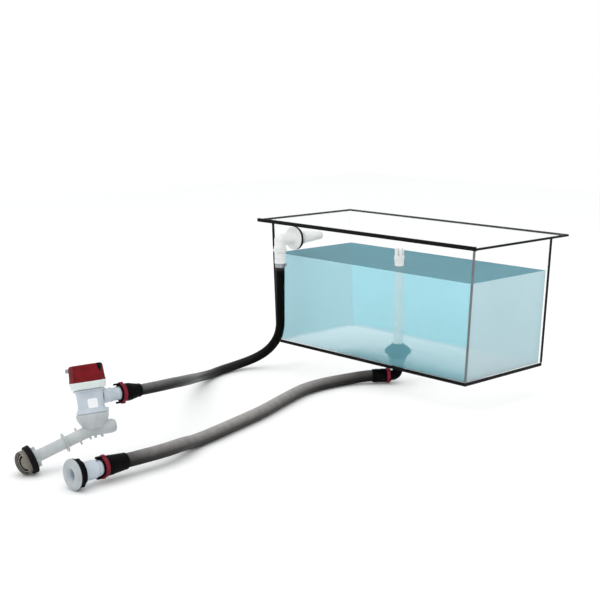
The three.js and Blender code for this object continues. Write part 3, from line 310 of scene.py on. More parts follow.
def moulded(name, dark, light, smooth, rough, relief=0.02, gloss=0.5):
    material, tree = new_finish(name)
    spot = add(tree, "ShaderNodeTexCoord").outputs["Object"]
    flow = add(tree, "ShaderNodeTexNoise", inputs={"Vector": spot, "Scale": 1 / (FLOW * MM), "Detail": 3.0})
    grain = add(tree, "ShaderNodeTexNoise", inputs={"Vector": spot, "Scale": 1 / (GRAIN * MM), "Detail": 2.0})
    colour = add(tree, "ShaderNodeValToRGB", inputs={0: flow}, stops=spread(dark, light))
    dullness = add(tree, "ShaderNodeValToRGB", inputs={0: grain}, stops=spread(smooth, rough))
    bump = add(tree, "ShaderNodeBump", inputs={"Height": grain, "Strength": 0.35, "Distance": relief * MM})
    shader = add(
        tree, "ShaderNodeBsdfPrincipled",
        inputs={"Base Color": colour, "Roughness": dullness, "Normal": bump, "Specular IOR Level": gloss},
    )
    add(tree, "ShaderNodeOutputMaterial", inputs={"Surface": shader})
    return material


WHITE_ABS = moulded("white_moulded_abs", "#dcdfdf", "#e6e8e6", 0.3, 0.4, gloss=0.4)
PUMP_ABS = moulded("bluish_white_moulded_abs", "#b4bec7", "#c0c9d1", 0.32, 0.42, gloss=0.4)
INTAKE_ABS = moulded("greyish_white_moulded_abs", "#b5bbbd", "#c0c5c6", 0.35, 0.45, gloss=0.35)
COLLAR_ABS = moulded("grey_green_white_moulded_abs", "#cfdad8", "#d9e2e0", 0.35, 0.45, gloss=0.35)
# A grey copy of the white plastic: painted shade on the outlet's head.
OUTLET_HEAD_PAINTED_SHADE = moulded("light_grey_moulded_abs", "#a0a7aa", "#adb3b6", 0.32, 0.42, gloss=0.4)
BLACK_NYLON = moulded("black_moulded_nylon", "#020202", "#060606", 0.45, 0.58, gloss=0.05)
RED_ABS = moulded("dark_red_moulded_abs", "#5f0d12", "#76151c", 0.42, 0.55, gloss=0.1)
CRIMSON_NYLON = moulded("crimson_moulded_nylon", "#6c1024", "#81172d", 0.36, 0.46, gloss=0.18)
GREY_ACETAL = moulded("grey_moulded_acetal", "#8f979b", "#a0a7aa", 0.4, 0.5)
LABEL_FILM = moulded("white_label_film", "#e9ebee", "#f2f3f5", 0.2, 0.26, relief=0.005)
BLACK_VINYL = moulded("black_extruded_vinyl", "#020202", "#070707", 0.36, 0.48, gloss=0.1)
GREY_VINYL = moulded("grey_extruded_vinyl", "#5c6265", "#696f72", 0.35, 0.45)
print("moulded finishes:", len(bpy.data.materials))

# %% [markdown]
# Moulded EPDM rubber is matt and slightly dusty, with pores that are drawn 0.6 mm across,
# coarser than they are, so that they show. The strainer is a grey-bronze dipped
# plastic, a little metallic. The clamp and the motor's can are stainless steel, brushed
# round their axis, so the fine lines are stretched noise.

# %% Rubber, strainer and steel
DUST_PATCH = 6
PORE = 0.6


def rubber(name, dark, light):
    material, tree = new_finish(name)
    spot = add(tree, "ShaderNodeTexCoord").outputs["Object"]
    dust = add(tree, "ShaderNodeTexNoise", inputs={"Vector": spot, "Scale": 1 / (DUST_PATCH * MM), "Detail": 6.0})
    pores = add(tree, "ShaderNodeTexNoise", inputs={"Vector": spot, "Scale": 1 / (PORE * MM)})
    colour = add(tree, "ShaderNodeValToRGB", inputs={0: dust}, stops=spread(dark, light))
    dullness = add(tree, "ShaderNodeValToRGB", inputs={0: dust}, stops=spread(0.6, 0.75))
    bump = add(tree, "ShaderNodeBump", inputs={"Height": pores, "Strength": 0.4, "Distance": 0.03 * MM})
    shader = add(
        tree, "ShaderNodeBsdfPrincipled",
        inputs={"Base Color": colour, "Roughness": dullness, "Normal": bump, "Specular IOR Level": 0.08},
    )
    add(tree, "ShaderNodeOutputMaterial", inputs={"Surface": shader})
    return material


def metal(name, dark, light, smooth, rough, metallic, stretch, size):
    material, tree = new_finish(name)
    spot = add(tree, "ShaderNodeTexCoord").outputs["Object"]
    drawn_out = add(tree, "ShaderNodeMapping", inputs={"Vector": spot, "Scale": (1, 1, stretch)})
    lines = add(tree, "ShaderNodeTexNoise", inputs={"Vector": drawn_out, "Scale": 1 / (size * MM), "Detail": 4.0})
    colour = add(tree, "ShaderNodeValToRGB", inputs={0: lines}, stops=spread(dark, light))
    dullness = add(tree, "ShaderNodeValToRGB", inputs={0: lines}, stops=spread(smooth, rough))
    bump = add(tree, "ShaderNodeBump", inputs={"Height": lines, "Strength": 0.3, "Distance": 0.02 * MM})
    shader = add(
        tree, "ShaderNodeBsdfPrincipled",
        inputs={"Base Color": colour, "Roughness": dullness, "Metallic": metallic, "Normal": bump},
    )
    add(tree, "ShaderNodeOutputMaterial", inputs={"Surface": shader})
    return material


EPDM = rubber("black_epdm_rubber", "#0a0a0c", "#161618")
STRAINER_BRONZE = metal("grey_bronze_dipped_plastic", "#67635b", "#7f7a71", 0.45, 0.6, metallic=0.2, stretch=1, size=3)
STAINLESS = metal("brushed_stainless_steel", "#8d8f92", "#b4b6b8", 0.25, 0.4, metallic=1, stretch=8, size=2.5)
print("rubber and metals ready")

# %% [markdown]
# The tank is cast acrylic sheet, polished and so clear that it shows only by a faint
# gloss. Real refraction would bend the standpipe behind two walls, and the picture shows
# none, so the sheet is a plain shader with a low alpha.

# %% Clear sheet
HAZE = 60


def clear(name, code, alpha, rough):
    material, tree = new_finish(name)
    spot = add(tree, "ShaderNodeTexCoord").outputs["Object"]
    haze = add(tree, "ShaderNodeTexNoise", inputs={"Vector": spot, "Scale": 1 / (HAZE * MM), "Detail": 2.0})
    dullness = add(tree, "ShaderNodeValToRGB", inputs={0: haze}, stops=spread(rough, 2 * rough))
    shader = add(
        tree, "ShaderNodeBsdfPrincipled",
        inputs={"Base Color": linear(code), "Roughness": dullness, "Alpha": alpha, "IOR": 1.49},
    )
    add(tree, "ShaderNodeOutputMaterial", inputs={"Surface": shader})
    return material


ACRYLIC = clear("clear_cast_acrylic", "#eef5f7", alpha=0.03, rough=0.04)
print("clear sheet ready")

# %% [markdown]
# Water in a clear tank scatters the light that falls through it, so each side of it is a
# thin veil: part is clear, part is lit from the front and part from behind. The sides' colours
# are painted light and shade on one water: the front is a clear cyan that hides half of what
# is behind, the ends are painted greyer, the back and the floor painted lighter, and the
# surface, seen at a low angle, is painted the darkest. The colour drifts a little over a
# hand's breadth. Shadows and bounced light pass straight through, as the light path node
# tells, because real water hardly darkens what stands in it.

# %% Water
HAND = 150


def water_veil(name, dark, light, cover, from_behind):
    material, tree = new_finish(name)
    spot = add(tree, "ShaderNodeTexCoord").outputs["Object"]
    drift = add(tree, "ShaderNodeTexNoise", inputs={"Vector": spot, "Scale": 1 / (HAND * MM), "Detail": 2.0})
    colour = add(tree, "ShaderNodeValToRGB", inputs={0: drift}, stops=spread(dark, light, 0.2, 0.8))
    front = add(tree, "ShaderNodeBsdfDiffuse", inputs={"Color": colour})
    behind = add(tree, "ShaderNodeBsdfTranslucent", inputs={"Color": colour})
    lit = add(tree, "ShaderNodeMixShader", inputs={0: from_behind, 1: front, 2: behind})
    open_water = add(tree, "ShaderNodeBsdfTransparent")
    veil = add(tree, "ShaderNodeMixShader", inputs={0: cover, 1: open_water, 2: lit})
    rays = add(tree, "ShaderNodeLightPath").outputs
    passing = add(
        tree, "ShaderNodeMath", {"operation": "MAXIMUM"}, {0: rays["Is Shadow Ray"], 1: rays["Is Diffuse Ray"]}
    )
    bright = add(tree, "ShaderNodeMixShader", inputs={0: passing, 1: veil, 2: open_water})
    add(tree, "ShaderNodeOutputMaterial", inputs={"Surface": bright})
    return material


# Each side's colour is painted light and shade on the same water.
WATER_FRONT = water_veil("water_through_the_front", "#6ac9da", "#74cfe0", cover=0.45, from_behind=0.3)
WATER_BACK = water_veil("water_through_the_back", "#aae6f2", "#b2ebf6", cover=0.8, from_behind=0.5)
WATER_END = water_veil("water_through_the_ends", "#b3d0d8", "#bbd5dc", cover=0.85, from_behind=0.5)
WATER_FLOOR = water_veil("water_over_the_floor", "#a8e0ec", "#b0e5f0", cover=0.15, from_behind=0.6)
WATER_TOP = water_veil("water_surface", "#4a8694", "#528c9a", cover=0.87, from_behind=0.5)
print("materials:", len(bpy.data.materials))


# %% [markdown]
# ## Hoses
# Both hoses are smooth and thick-walled. A hose could be a bevelled curve, but a mesh tube
# lets the colour follow its length by an attribute: the fill hose is black at the tank and
# painted grey towards the pump as a highlight, with a painted highlight at its top end, and
# the drain hose is painted lighter along its middle and darker at both ends. The surface
# normal's upward part paints light on each hose's upper side and shade on its underside.
# Each route is the solid's, in millimetres: straight out of its fitting, down, and along the
# ground.

# %% Routes
FILL_ROUTE = [
    (55.3, -957.7, -282.3), (55.9, -951.7, -282.4), (56.1, -922.6, -282.8), (51.7, -894, -284.4),
    (42.9, -866.1, -287.1), (30.3, -838.8, -291.2), (14.2, -812.2, -296.8), (-4.8, -786, -302.9),
    (-26.5, -760.3, -309.9), (-50.3, -734.9, -317.6), (-75.8, -709.8, -325.8), (-102.6, -684.8, -334.5),
    (-130.2, -660, -343.5), (-158.2, -635.2, -352.6), (-186.3, -610.3, -361.7), (-213.8, -585.3, -370.7),
    (-240.5, -560.1, -379.3), (-265.9, -534.5, -387.5), (-289.5, -508.7, -395), (-311, -482.3, -401.7),
    (-329.8, -455.4, -407.4), (-345.6, -427.9, -411.6), (-357.9, -399.8, -413), (-366.3, -370.8, -413),
    (-371.1, -340.7, -412.2), (-371.2, -310.6, -409.5), (-364.9, -281.1, -403.5), (-352.2, -255.3, -393.4),
    (-336, -234.3, -378.1), (-319.8, -219.7, -357.4), (-305.4, -211.8, -331.6), (-295.2, -210.7, -303.1),
    (-288.8, -214.3, -273.4), (-283.7, -219.1, -243.6), (-279.5, -222.8, -213.6), (-277.5, -224.5, -183.2),
    (-277, -225, -152.7), (-277, -225, -122), (-277, -225, -107.4),
]
DRAIN_ROUTE = [
    (0.8, -129.6, -404), (-2.8, -134.4, -404), (-16.5, -154.8, -405.8), (-30, -181.6, -408.6),
    (-38.5, -211.1, -409.9), (-42.9, -241.3, -410.1), (-44.8, -271.7, -409.9), (-44.4, -302.1, -409.9),
    (-41.4, -332.4, -409.8), (-35.5, -362.3, -409.8), (-26.6, -391.5, -409.8), (-15.9, -420.4, -409.7),
    (-5, -448.6, -409.7), (6.2, -477.1, -409.8), (17.4, -505.3, -409.9), (28.8, -533.7, -410),
    (39.8, -561.9, -410), (50.4, -591, -410), (60.1, -620, -409.8), (69, -649.1, -409.8),
    (77.4, -678.3, -409.9), (85.9, -707.5, -410), (94.7, -736.5, -409.8), (103.7, -766, -409.6),
    (111.8, -795.5, -409.7), (118.9, -825.2, -410), (127.3, -854.5, -408.9), (139.1, -881.9, -404.7),
    (153.1, -908.4, -398.9), (165.7, -935.9, -394.9), (174.3, -965.1, -393), (178.3, -995.1, -392.3),
    (179.6, -1026, -392.1), (180, -1056, -392), (180, -1086.9, -392),
]


def smooth_route(route, step=5.0):
    """Even points on a centripetal spline through the route, in metres."""
    knots = [Vector(point) * MM for point in route]
    knots = [2 * knots[0] - knots[1], *knots, 2 * knots[-1] - knots[-2]]
    parts = 24
    dense = []
    for p0, p1, p2, p3 in zip(knots, knots[1:], knots[2:], knots[3:]):
        d1, d2, d3 = ((b - a).length ** 0.5 for a, b in ((p0, p1), (p1, p2), (p2, p3)))
        m1 = (p2 - p1) + d2 * ((p1 - p0) / d1 - (p2 - p0) / (d1 + d2))
        m2 = (p2 - p1) + d2 * ((p3 - p2) / d3 - (p3 - p1) / (d2 + d3))
        for i in range(parts):
            t = i / parts
            dense.append(
                (2 * t**3 - 3 * t**2 + 1) * p1 + (t**3 - 2 * t**2 + t) * m1
                + (3 * t**2 - 2 * t**3) * p2 + (t**3 - t**2) * m2
            )
    dense.append(knots[-2])
    length = sum((b - a).length for a, b in zip(dense, dense[1:]))
    count = round(length / (step * MM))
    points, walked, target = [dense[0]], 0.0, length / count
    for a, b in zip(dense, dense[1:]):
        leg = (b - a).length
        while walked + leg >= target - 1e-9 and len(points) < count:
            points.append(a.lerp(b, (target - walked) / leg))
            target += length / count
        walked += leg
    points.append(dense[-1])
    return points, length


# %% Hose tubes
HOSE_SIDES = 28


def hose_tube(name, points, radius):
    mesh = bmesh.new()
    along = mesh.verts.layers.float.new("along")
    for i, ring in enumerate(tube_rings(mesh, points, radius * MM, HOSE_SIDES)):
        for vertex in ring:
            vertex[along] = i / (len(points) - 1)
    bmesh.ops.recalc_face_normals(mesh, faces=mesh.faces)
    data = bpy.data.meshes.new(name)
    mesh.to_mesh(data)
    mesh.free()
    data.shade_smooth()
    return shown(name, data)


# Painted light and shade on a hose: these stops darken its underside and lighten its top.
PAINTED_TOP_LIGHT = [(0, 0.02), (0.5, 0.17), (0.85, 0.7), (1, 1)]
BLOOM = 18
DRAW_MARK = 1.5


def hose_finish(name, stops):
    material, tree = new_finish(name)
    spot = add(tree, "ShaderNodeTexCoord").outputs["Object"]
    along = add(tree, "ShaderNodeAttribute", {"attribute_name": "along"}).outputs["Fac"]
    facing = add(tree, "ShaderNodeSeparateXYZ", inputs={0: add(tree, "ShaderNodeNewGeometry").outputs["Normal"]})
    upward = add(tree, "ShaderNodeMath", {"operation": "MULTIPLY_ADD"}, {0: facing.outputs[2], 1: 0.5, 2: 0.5})
    bloom = add(tree, "ShaderNodeTexNoise", inputs={"Vector": spot, "Scale": 1 / (BLOOM * MM), "Detail": 5.0})
    drawn = add(tree, "ShaderNodeTexNoise", inputs={"Vector": spot, "Scale": 1 / (DRAW_MARK * MM)})
    colour = add(tree, "ShaderNodeValToRGB", inputs={0: along}, stops=stops)
    # The second multiply paints light on the upper side and shade on the underside.
    for level, greys in ((bloom, spread(0.9, 1.1)), (upward, PAINTED_TOP_LIGHT)):
        grey = add(tree, "ShaderNodeValToRGB", inputs={0: level}, stops=greys)
        colour = add(
            tree, "ShaderNodeMix", {"data_type": "RGBA", "blend_type": "MULTIPLY"},
            {"Factor": 1.0, 6: colour, 7: grey},
        ).outputs[2]
    dullness = add(tree, "ShaderNodeValToRGB", inputs={0: bloom}, stops=spread(0.35, 0.45))
    bump = add(tree, "ShaderNodeBump", inputs={"Height": drawn, "Strength": 0.25, "Distance": 0.03 * MM})
    shader = add(
        tree, "ShaderNodeBsdfPrincipled",
        inputs={"Base Color": colour, "Roughness": dullness, "Normal": bump, "Specular IOR Level": 0.06},
    )
    add(tree, "ShaderNodeOutputMaterial", inputs={"Surface": shader})
    return material


# Painted light along the fill hose: black at the tank, grey towards the pump as a highlight, and a painted highlight at
# its top end past 0.982.
FILL_FINISH = hose_finish(
    "extruded_pvc_hose_black_to_grey",
    [(0.0, "#6e6e6e"), (0.25, "#626262"), (0.45, "#484848"), (0.62, "#343434"), (0.8, "#080808"), (0.982, "#080808"),
     (0.991, "#9a9090")],
)
# Painted light along the drain hose: lighter along its middle as a highlight, darker at both ends.
DRAIN_FINISH = hose_finish(
    "extruded_pvc_hose_grey",
    [(0.0, "#504f4e"), (0.25, "#9a9795"), (0.6, "#a19e9b"), (0.93, "#8c8988"), (1.0, "#5c5a59")],
)


def lay_hose(name, node, route, radius, finish):
    points, length = smooth_route(route)
    hose = hose_tube(name, points, radius)
    hose.data.materials.append(finish)
    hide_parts(node)
    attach(hose, "tank_and_plumbing")
    print(name, "is", round(length, 3), "m long")


lay_hose("fill_hose_tube", "fill_hose", FILL_ROUTE, 13, FILL_FINISH)
lay_hose("drain_hose_tube", "drain_hose", DRAIN_ROUTE, 16, DRAIN_FINISH)


# %% [markdown]
# ## Repeats with Geometry Nodes
# Ribs, grips and lugs repeat round an axis, threads wind round it, and holes and slots are
# cut round it. Three small node trees do this. Each has named inputs, and its result is
# turned into a plain mesh before the piece is placed.

# %% Trees for ribs, threads and holes
def new_tree(name, inputs):
    tree = bpy.data.node_groups.new(name, "GeometryNodeTree")
    for label, kind, value in inputs:
        socket = tree.interface.new_socket(label, in_out="INPUT", socket_type=kind)
        if value is not None:
            socket.default_value = value
    tree.interface.new_socket("Geometry", in_out="OUTPUT", socket_type="NodeSocketGeometry")
    return tree, tree.nodes.new("NodeGroupInput").outputs


ROUND_INPUTS = [
    ("Piece", "NodeSocketObject", None), ("Count", "NodeSocketInt", 8), ("Radius", "NodeSocketFloat", 10.0),
    ("Height", "NodeSocketFloat", 0.0), ("Turn", "NodeSocketFloat", 0.0), ("Rows", "NodeSocketInt", 1),
    ("Row Step", "NodeSocketFloat", 0.0), ("Row Turn", "NodeSocketFloat", 0.0),
]


def copies_round(tree, given):
    """Copies of a piece on a circle, its X outwards, in one or more rows."""
    piece = add(tree, "GeometryNodeObjectInfo", {"transform_space": "ORIGINAL"}, {"Object": given["Piece"]})
    reach = add(tree, "ShaderNodeCombineXYZ", inputs={"X": given["Radius"]})
    moved = add(tree, "GeometryNodeTransform", inputs={"Geometry": piece.outputs["Geometry"], "Translation": reach})
    number = add(tree, "GeometryNodeInputIndex")
    share = add(tree, "ShaderNodeMath", {"operation": "DIVIDE"}, {0: number, 1: given["Count"]})
    angle = add(tree, "ShaderNodeMath", {"operation": "MULTIPLY"}, {0: share, 1: 2 * math.pi})
    turn = add(tree, "ShaderNodeCombineXYZ", inputs={"Z": angle})
    places = add(tree, "GeometryNodeMeshLine", inputs={"Count": given["Count"], "Offset": (0, 0, 0)})
    ring = add(tree, "GeometryNodeInstanceOnPoints", inputs={"Points": places, "Instance": moved, "Rotation": turn})
    step = add(tree, "ShaderNodeCombineXYZ", inputs={"Z": given["Row Step"]})
    start = add(tree, "ShaderNodeCombineXYZ", inputs={"Z": given["Height"]})
    rows = add(tree, "GeometryNodeMeshLine", inputs={"Count": given["Rows"], "Start Location": start, "Offset": step})
    row = add(tree, "GeometryNodeInputIndex")
    twist = add(tree, "ShaderNodeMath", {"operation": "MULTIPLY_ADD"}, {0: row, 1: given["Row Turn"], 2: given["Turn"]})
    spin = add(tree, "ShaderNodeCombineXYZ", inputs={"Z": twist})
    stack = add(tree, "GeometryNodeInstanceOnPoints", inputs={"Points": rows, "Instance": ring, "Rotation": spin})
    return add(tree, "GeometryNodeRealizeInstances", inputs={0: stack})


RIB_TREE, given = new_tree("ribs_round_an_axis", [*ROUND_INPUTS, ("Finish", "NodeSocketMaterial", None)])
ribs = add(RIB_TREE, "GeometryNodeSetMaterial", inputs={0: copies_round(RIB_TREE, given), "Material": given["Finish"]})
add(RIB_TREE, "NodeGroupOutput", inputs={0: ribs})

CUT_TREE, given = new_tree(
    "holes_round_an_axis",
    [("Body", "NodeSocketGeometry", None), *ROUND_INPUTS, ("Finish", "NodeSocketMaterial", None)],
)
holed = add(
    CUT_TREE, "GeometryNodeMeshBoolean", {"operation": "DIFFERENCE", "solver": "EXACT"},
    {"Mesh 1": given["Body"], "Mesh 2": copies_round(CUT_TREE, given)},
)
holed = add(CUT_TREE, "GeometryNodeSetMaterial", inputs={0: holed, "Material": given["Finish"]})
add(CUT_TREE, "NodeGroupOutput", inputs={0: holed})

THREAD_TREE, given = new_tree(
    "thread_round_an_axis",
    [
        ("Turns", "NodeSocketFloat", 5.0), ("Radius", "NodeSocketFloat", 10.0), ("Rise", "NodeSocketFloat", 10.0),
        ("Depth", "NodeSocketFloat", 0.6), ("Finish", "NodeSocketMaterial", None),
    ],
)
coil = add(
    THREAD_TREE, "GeometryNodeCurveSpiral",
    inputs={
        "Resolution": 48, "Rotations": given["Turns"], "Start Radius": given["Radius"],
        "End Radius": given["Radius"], "Height": given["Rise"],
    },
)
ridge = add(THREAD_TREE, "GeometryNodeCurvePrimitiveCircle", inputs={"Resolution": 6, "Radius": given["Depth"]})
wound = add(THREAD_TREE, "GeometryNodeCurveToMesh", inputs={"Curve": coil, "Profile Curve": ridge, "Fill Caps": True})
wound = add(THREAD_TREE, "GeometryNodeSetMaterial", inputs={0: wound, "Material": given["Finish"]})
add(THREAD_TREE, "NodeGroupOutput", inputs={0: wound})
print("node trees:", [tree.name for tree in bpy.data.node_groups])


# %% Running a tree
def run_tree(tree, values, base=None):
    holder = base or shown("holder", bpy.data.meshes.new("holder"))
    change = holder.modifiers.new("repeat", "NODES")
    change.node_group = tree
    for item in tree.interface.items_tree:
        if item.in_out == "INPUT" and item.name in values:
            change[item.identifier] = values[item.name]
    result = plain(holder)
    drop(holder)
    return result


def round_copies(piece, finish, base=None, **values):
    named = {key.replace("_", " ").title(): value for key, value in values.items()}
    tree = CUT_TREE if base else RIB_TREE
    result = run_tree(tree, {"Piece": piece, "Finish": finish, **named}, base)
    drop(piece)
    return result


def thread(turns, radius, low, rise, depth, finish):
    values = {"Turns": turns, "Radius": radius, "Rise": rise, "Depth": depth, "Finish": finish}
    return turned_to(run_tree(THREAD_TREE, values), Matrix.Translation((0, 0, low)))


print("repeats ready")


# %% [markdown]
# A finished piece is one mesh: its ribs and threads are merged into its body as separate
# shells, it is carried to its place, gets soft shading with sharp edges over 35 degrees,
# stands for its solid and rides on the same body.

# %% Finishing a piece
def body_of_node(node):
    for body, nodes in frame["record"]["behaviour"]["bodies"].items():
        if node in nodes:
            return body


SHARP = math.radians(35)


def stand_for(node, data):
    """An object of the mesh that takes the node's place and body."""
    piece = shown(node + "_piece", data)
    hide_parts(node)
    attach(piece, body_of_node(node))


def dress(node, shells, spot, finish):
    mesh = bmesh.new()
    for shell in shells:
        mesh.from_mesh(shell.data)
    data = bpy.data.meshes.new(node + "_piece")
    mesh.to_mesh(data)
    mesh.free()
    data.validate()
    drop(*shells)
    data.transform(spot @ Matrix.Scale(MM, 4))
    data.materials.append(finish)
    for face in data.polygons:
        face.material_index = 0
    data.shade_smooth()
    data.set_sharp_from_angle(angle=SHARP)
    stand_for(node, data)


def second_finish(node, spot, finish, chosen):
    """Give another finish to the faces whose centre, in the piece's own millimetres, is chosen."""
    data = bpy.data.objects[node + "_piece"].data
    data.materials.append(finish)
    to_spot = (spot @ Matrix.Scale(MM, 4)).inverted()
    for face in data.polygons:
        if chosen(to_spot @ face.center):
            face.material_index = 1


print("finishing tools ready")


# %% [markdown]
# ## Quick adapters
# Each hose ends in a black adapter that slides over a white tail and is held by a crimson
# quarter-turn ring. The adapter has two ears that reach back over the tail, a smooth wide
# shoulder, and a cone that narrows to the hose. The ring has two finger lugs.

# %% Adapter and ring
def quick_adapter(name, spot, tail, hose, start, length, ring):
    """Tail, hose and ring are outer radii; start and length lie along the axis."""
    socket = tail + 0.3
    wall, sleeve = socket + 3, hose + 2.6
    wide = max(wall + 2, sleeve)
    bore = min(hose, tail) - 3.5
    back, end = start + 12.8, start + length
    body = turned(
        [
            (socket, start), (wall + 0.4, start), (wall + 0.6, start + 1), (wall + 0.6, start + 3),
            (wall, start + 3.2), (wall, back), (wide, back), (wide, back + 14), (wide - 0.6, back + 16),
            (sleeve + 0.5, end - 9), (sleeve, end - 7), (sleeve, end), (bore, end), (bore, start + 18),
            (socket, start + 18),
        ],
        1.2,
    )
    ear = block((4.6, 9, 12), (0.3, 0, -3), 0.8)
    ears = round_copies(ear, BLACK_NYLON, count=2, radius=wall + 2, height=start)
    socket_cut = turned(straight(0, socket, start - 20, start + 17), 0)
    ears = carved(ears, cut=[socket_cut])
    seam = block((0.8, 1.2, 13), edge=0.3)
    seams = round_copies(seam, BLACK_NYLON, count=4, radius=wide, height=start + 19.8, turn=math.pi / 4)
    dress(name + "_adapter", [body, ears, seams], spot, BLACK_NYLON)
    low = start + 3.4
    band = turned(
        [
            (wall + 0.4, low), (ring, low), (ring, low + 3), (ring - 0.7, low + 3.6), (ring - 0.7, low + 5.4),
            (ring, low + 6), (ring, low + 9), (wall + 0.4, low + 9),
        ],
        0.5,
    )
    lug = block((6.4, 8, 9), edge=1.3)
    lugs = round_copies(lug, CRIMSON_NYLON, count=2, radius=ring, height=low + 4.5)
    grip = block((1.1, 1.5, 8), edge=0.3)
    grips = round_copies(grip, CRIMSON_NYLON, count=18, radius=ring - 0.1, height=low + 4.5)
    dress(name + "_lock_ring", [band, lugs, grips], spot, CRIMSON_NYLON)


quick_adapter("pump", AT_DISCHARGE, tail=15, hose=13, start=72.5, length=54, ring=21.6)
quick_adapter("outlet", AT_OUTLET, tail=16.5, hose=16, start=64.7, length=65.5, ring=23.2)
quick_adapter("drain", AT_DRAIN_LEG, tail=14, hose=16, start=20, length=51.7, ring=20.8)
print("adapters done")

# %% [markdown]
# ## Pump
# The housing is one moulding: a bowl that sits astride the intake, a flared joint line
# with a dark groove and a latch over it, a slightly waisted body with the discharge tail,
# and a ledge for the collar. The bowl is the intake's greyer plastic. The body is turned,
# the tail is joined and the intake's way is cut with booleans, which keeps the walls real
# when the cartridge is pulled out.

# %% Housing
housing = turned(
    [
        (0, 0), (22.5, 0), (25.5, 5.5), (29, 11), (32.2, 16), (34.6, 21), (36.2, 25.5), (37, 29.5),
        (37.1, 33.2), (33.4, 33.3), (33.4, 34.8), (35.8, 34.9), (34.8, 38), (31.8, 43.4), (30, 49), (29.5, 55),
        (29.6, 66), (30.4, 80), (31.4, 82.6), (36.3, 84.6), (36.3, 86.4), (34.3, 86.6), (34.3, 88.5), (0, 88.5),
    ],
    0.9,
    96,
)
tail = turned(
    [
        (0, 27.3), (17, 27.3), (17, 40), (15.8, 41), (15.8, 49), (16.6, 49.8), (16.6, 52), (15.4, 53.4), (15, 56),
        (15, 90.2), (0, 90.2),
    ],
    0.6,
)
TO_TAIL = AT_PUMP.inverted() @ AT_DISCHARGE
TO_TAIL.translation = Vector((0, 0, TAIL_RISE))
turned_to(tail, TO_TAIL)
cavity = turned([(0, 21), (20, 21), (24.5, 26), (24.5, 42), (27, 42.3), (27, 90), (0, 90)], 0)
stub_way = turned_to(turned(straight(0, 16.3, -60, 0), 0), TO_X)
barrel_way = turned_to(turned(straight(0, 13.6, 0, 60), 0), TO_INTAKE)
port = turned(straight(0, 8.5, 1, 24), 0)
tail_bore = turned_to(turned(straight(0, 10.5, 18, 92), 0), TO_TAIL)
LATCH_TURN = math.radians(168)
latch = block((7, 9, 9), (34.4, 0, 38.5), 1.6, LATCH_TURN)
housing = carved(housing, [tail, latch], [cavity, stub_way, barrel_way, ball(16.7), port, tail_bore])
dress("pump_housing", [housing], AT_PUMP, PUMP_ABS)
BOWL_TOP = 33.25
second_finish("pump_housing", AT_PUMP, INTAKE_ABS, lambda at: at.z < BOWL_TOP)

# %% [markdown]
# The intake runs under the bowl: a plugged stub that is square to the body, and a longer
# barrel that drops away at the angle of a boat's transom. It has ribs below, a lug above
# and below, a thin mounting collar, the winged nut and the rubber seal before the strainer.

# %% Intake barrel
stub = turned_to(turned([(0, -44.5), (14.4, -44.5), (15.6, -41.5), (16, -38), (16, 0), (0, 0)], 0.6), TO_X)
barrel = turned_to(turned(straight(0, 13.3, 0, 168.3), 0.6), TO_INTAKE)
lug_top = turned_to(block((10.4, 4.5, 4.5), (15.1, 0, 39.5), 0.8), TO_INTAKE)
lug_low = turned_to(block((10.4, 4.5, 4.5), (-15.1, 0, 39.5), 0.8), TO_INTAKE)
rib_a = block((4, 13.3, 9), (0, 0, -16.5), 0.8)
rib_b = block((4, 13.3, 9), (-15, 0, -16.5), 0.8)
rib_c = turned_to(block((8, 12, 3.4), (14.5, 0, 17), 0.8), TO_INTAKE)
drop_way = TO_INTAKE @ Vector((0, 0, 1))
water_way = swept([Vector((-48, 0, 0)), Vector((-2, 0, 0)), 2 * drop_way, 172 * drop_way], 10, 48)
port = turned(straight(0, 8.5, 0, 20), 0)
barrel = carved(barrel, [stub, ball(16.4), lug_top, lug_low, rib_a, rib_b, rib_c], [water_way, port])
screw = thread(turns=7, radius=13.15, low=114, rise=20, depth=0.45, finish=INTAKE_ABS)
dress("intake_barrel", [barrel, turned_to(screw, TO_INTAKE)], AT_PUMP, INTAKE_ABS)

plug = turned(
    [(0, -49.8), (7.5, -49.8), (10.6, -49), (13, -47.3), (14.4, -44.8), (9.7, -44.8), (9.7, -36.8), (0, -36.8)],
)
plug_bar = block((3, 14, 1.6), (0, 0, -49.0), 0.5)
dress("intake_end_plug", [turned_to(plug, TO_X), turned_to(plug_bar, TO_X)], AT_PUMP, INTAKE_ABS)

collar = turned([(13.6, 70), (22.3, 70), (22.3, 72.6), (16, 72.6), (13.6, 72.6)], 0.6)
dress("intake_collar", [turned_to(collar, TO_INTAKE)], AT_PUMP, INTAKE_ABS)

nut = turned([(13.6, 136.7), (18.5, 136.7), (18.5, 144), (18.5, 147.2), (13.6, 147.2)], 0.6)
wing = block((8.6, 8.4, 10.5), edge=1.4)
wings = round_copies(wing, INTAKE_ABS, count=2, radius=18.6, height=141.95)
grip = block((1.6, 2.4, 9), edge=0.5)
grips = round_copies(grip, INTAKE_ABS, count=12, radius=18, height=141.9)
dress("intake_nut", [turned_to(part, TO_INTAKE) for part in (nut, wings, grips)], AT_PUMP, INTAKE_ABS)

seal = turned(
    [
        (13.6, 147.5), (29.6, 147.5), (31.8, 149), (31.8, 153.4), (30.6, 154.4), (31.4, 155.4), (31.4, 159.6),
        (30.4, 161), (13.6, 161),
    ],
    0.6,
)
dress("intake_seal", [turned_to(seal, TO_INTAKE)], AT_PUMP, EPDM)
print("intake done")

# %% [markdown]
# The strainer is a straight-sided cup with a groove round it and a shallow dome, cut
# through by nine parallel slots. Its inside is painted black as shade, so that the slots read
# dark: FLATNESS makes a ball of the flat dome, and faces nearer than INSIDE belong to its inside.

# %% Strainer
DOME_WAIST = 172.3
DOME_RISE = 15.2


def cup_arc(radius, rise):
    turns = [i * math.pi / 32 for i in range(16)]
    return [(radius * math.cos(a), DOME_WAIST + rise * math.sin(a)) for a in turns]


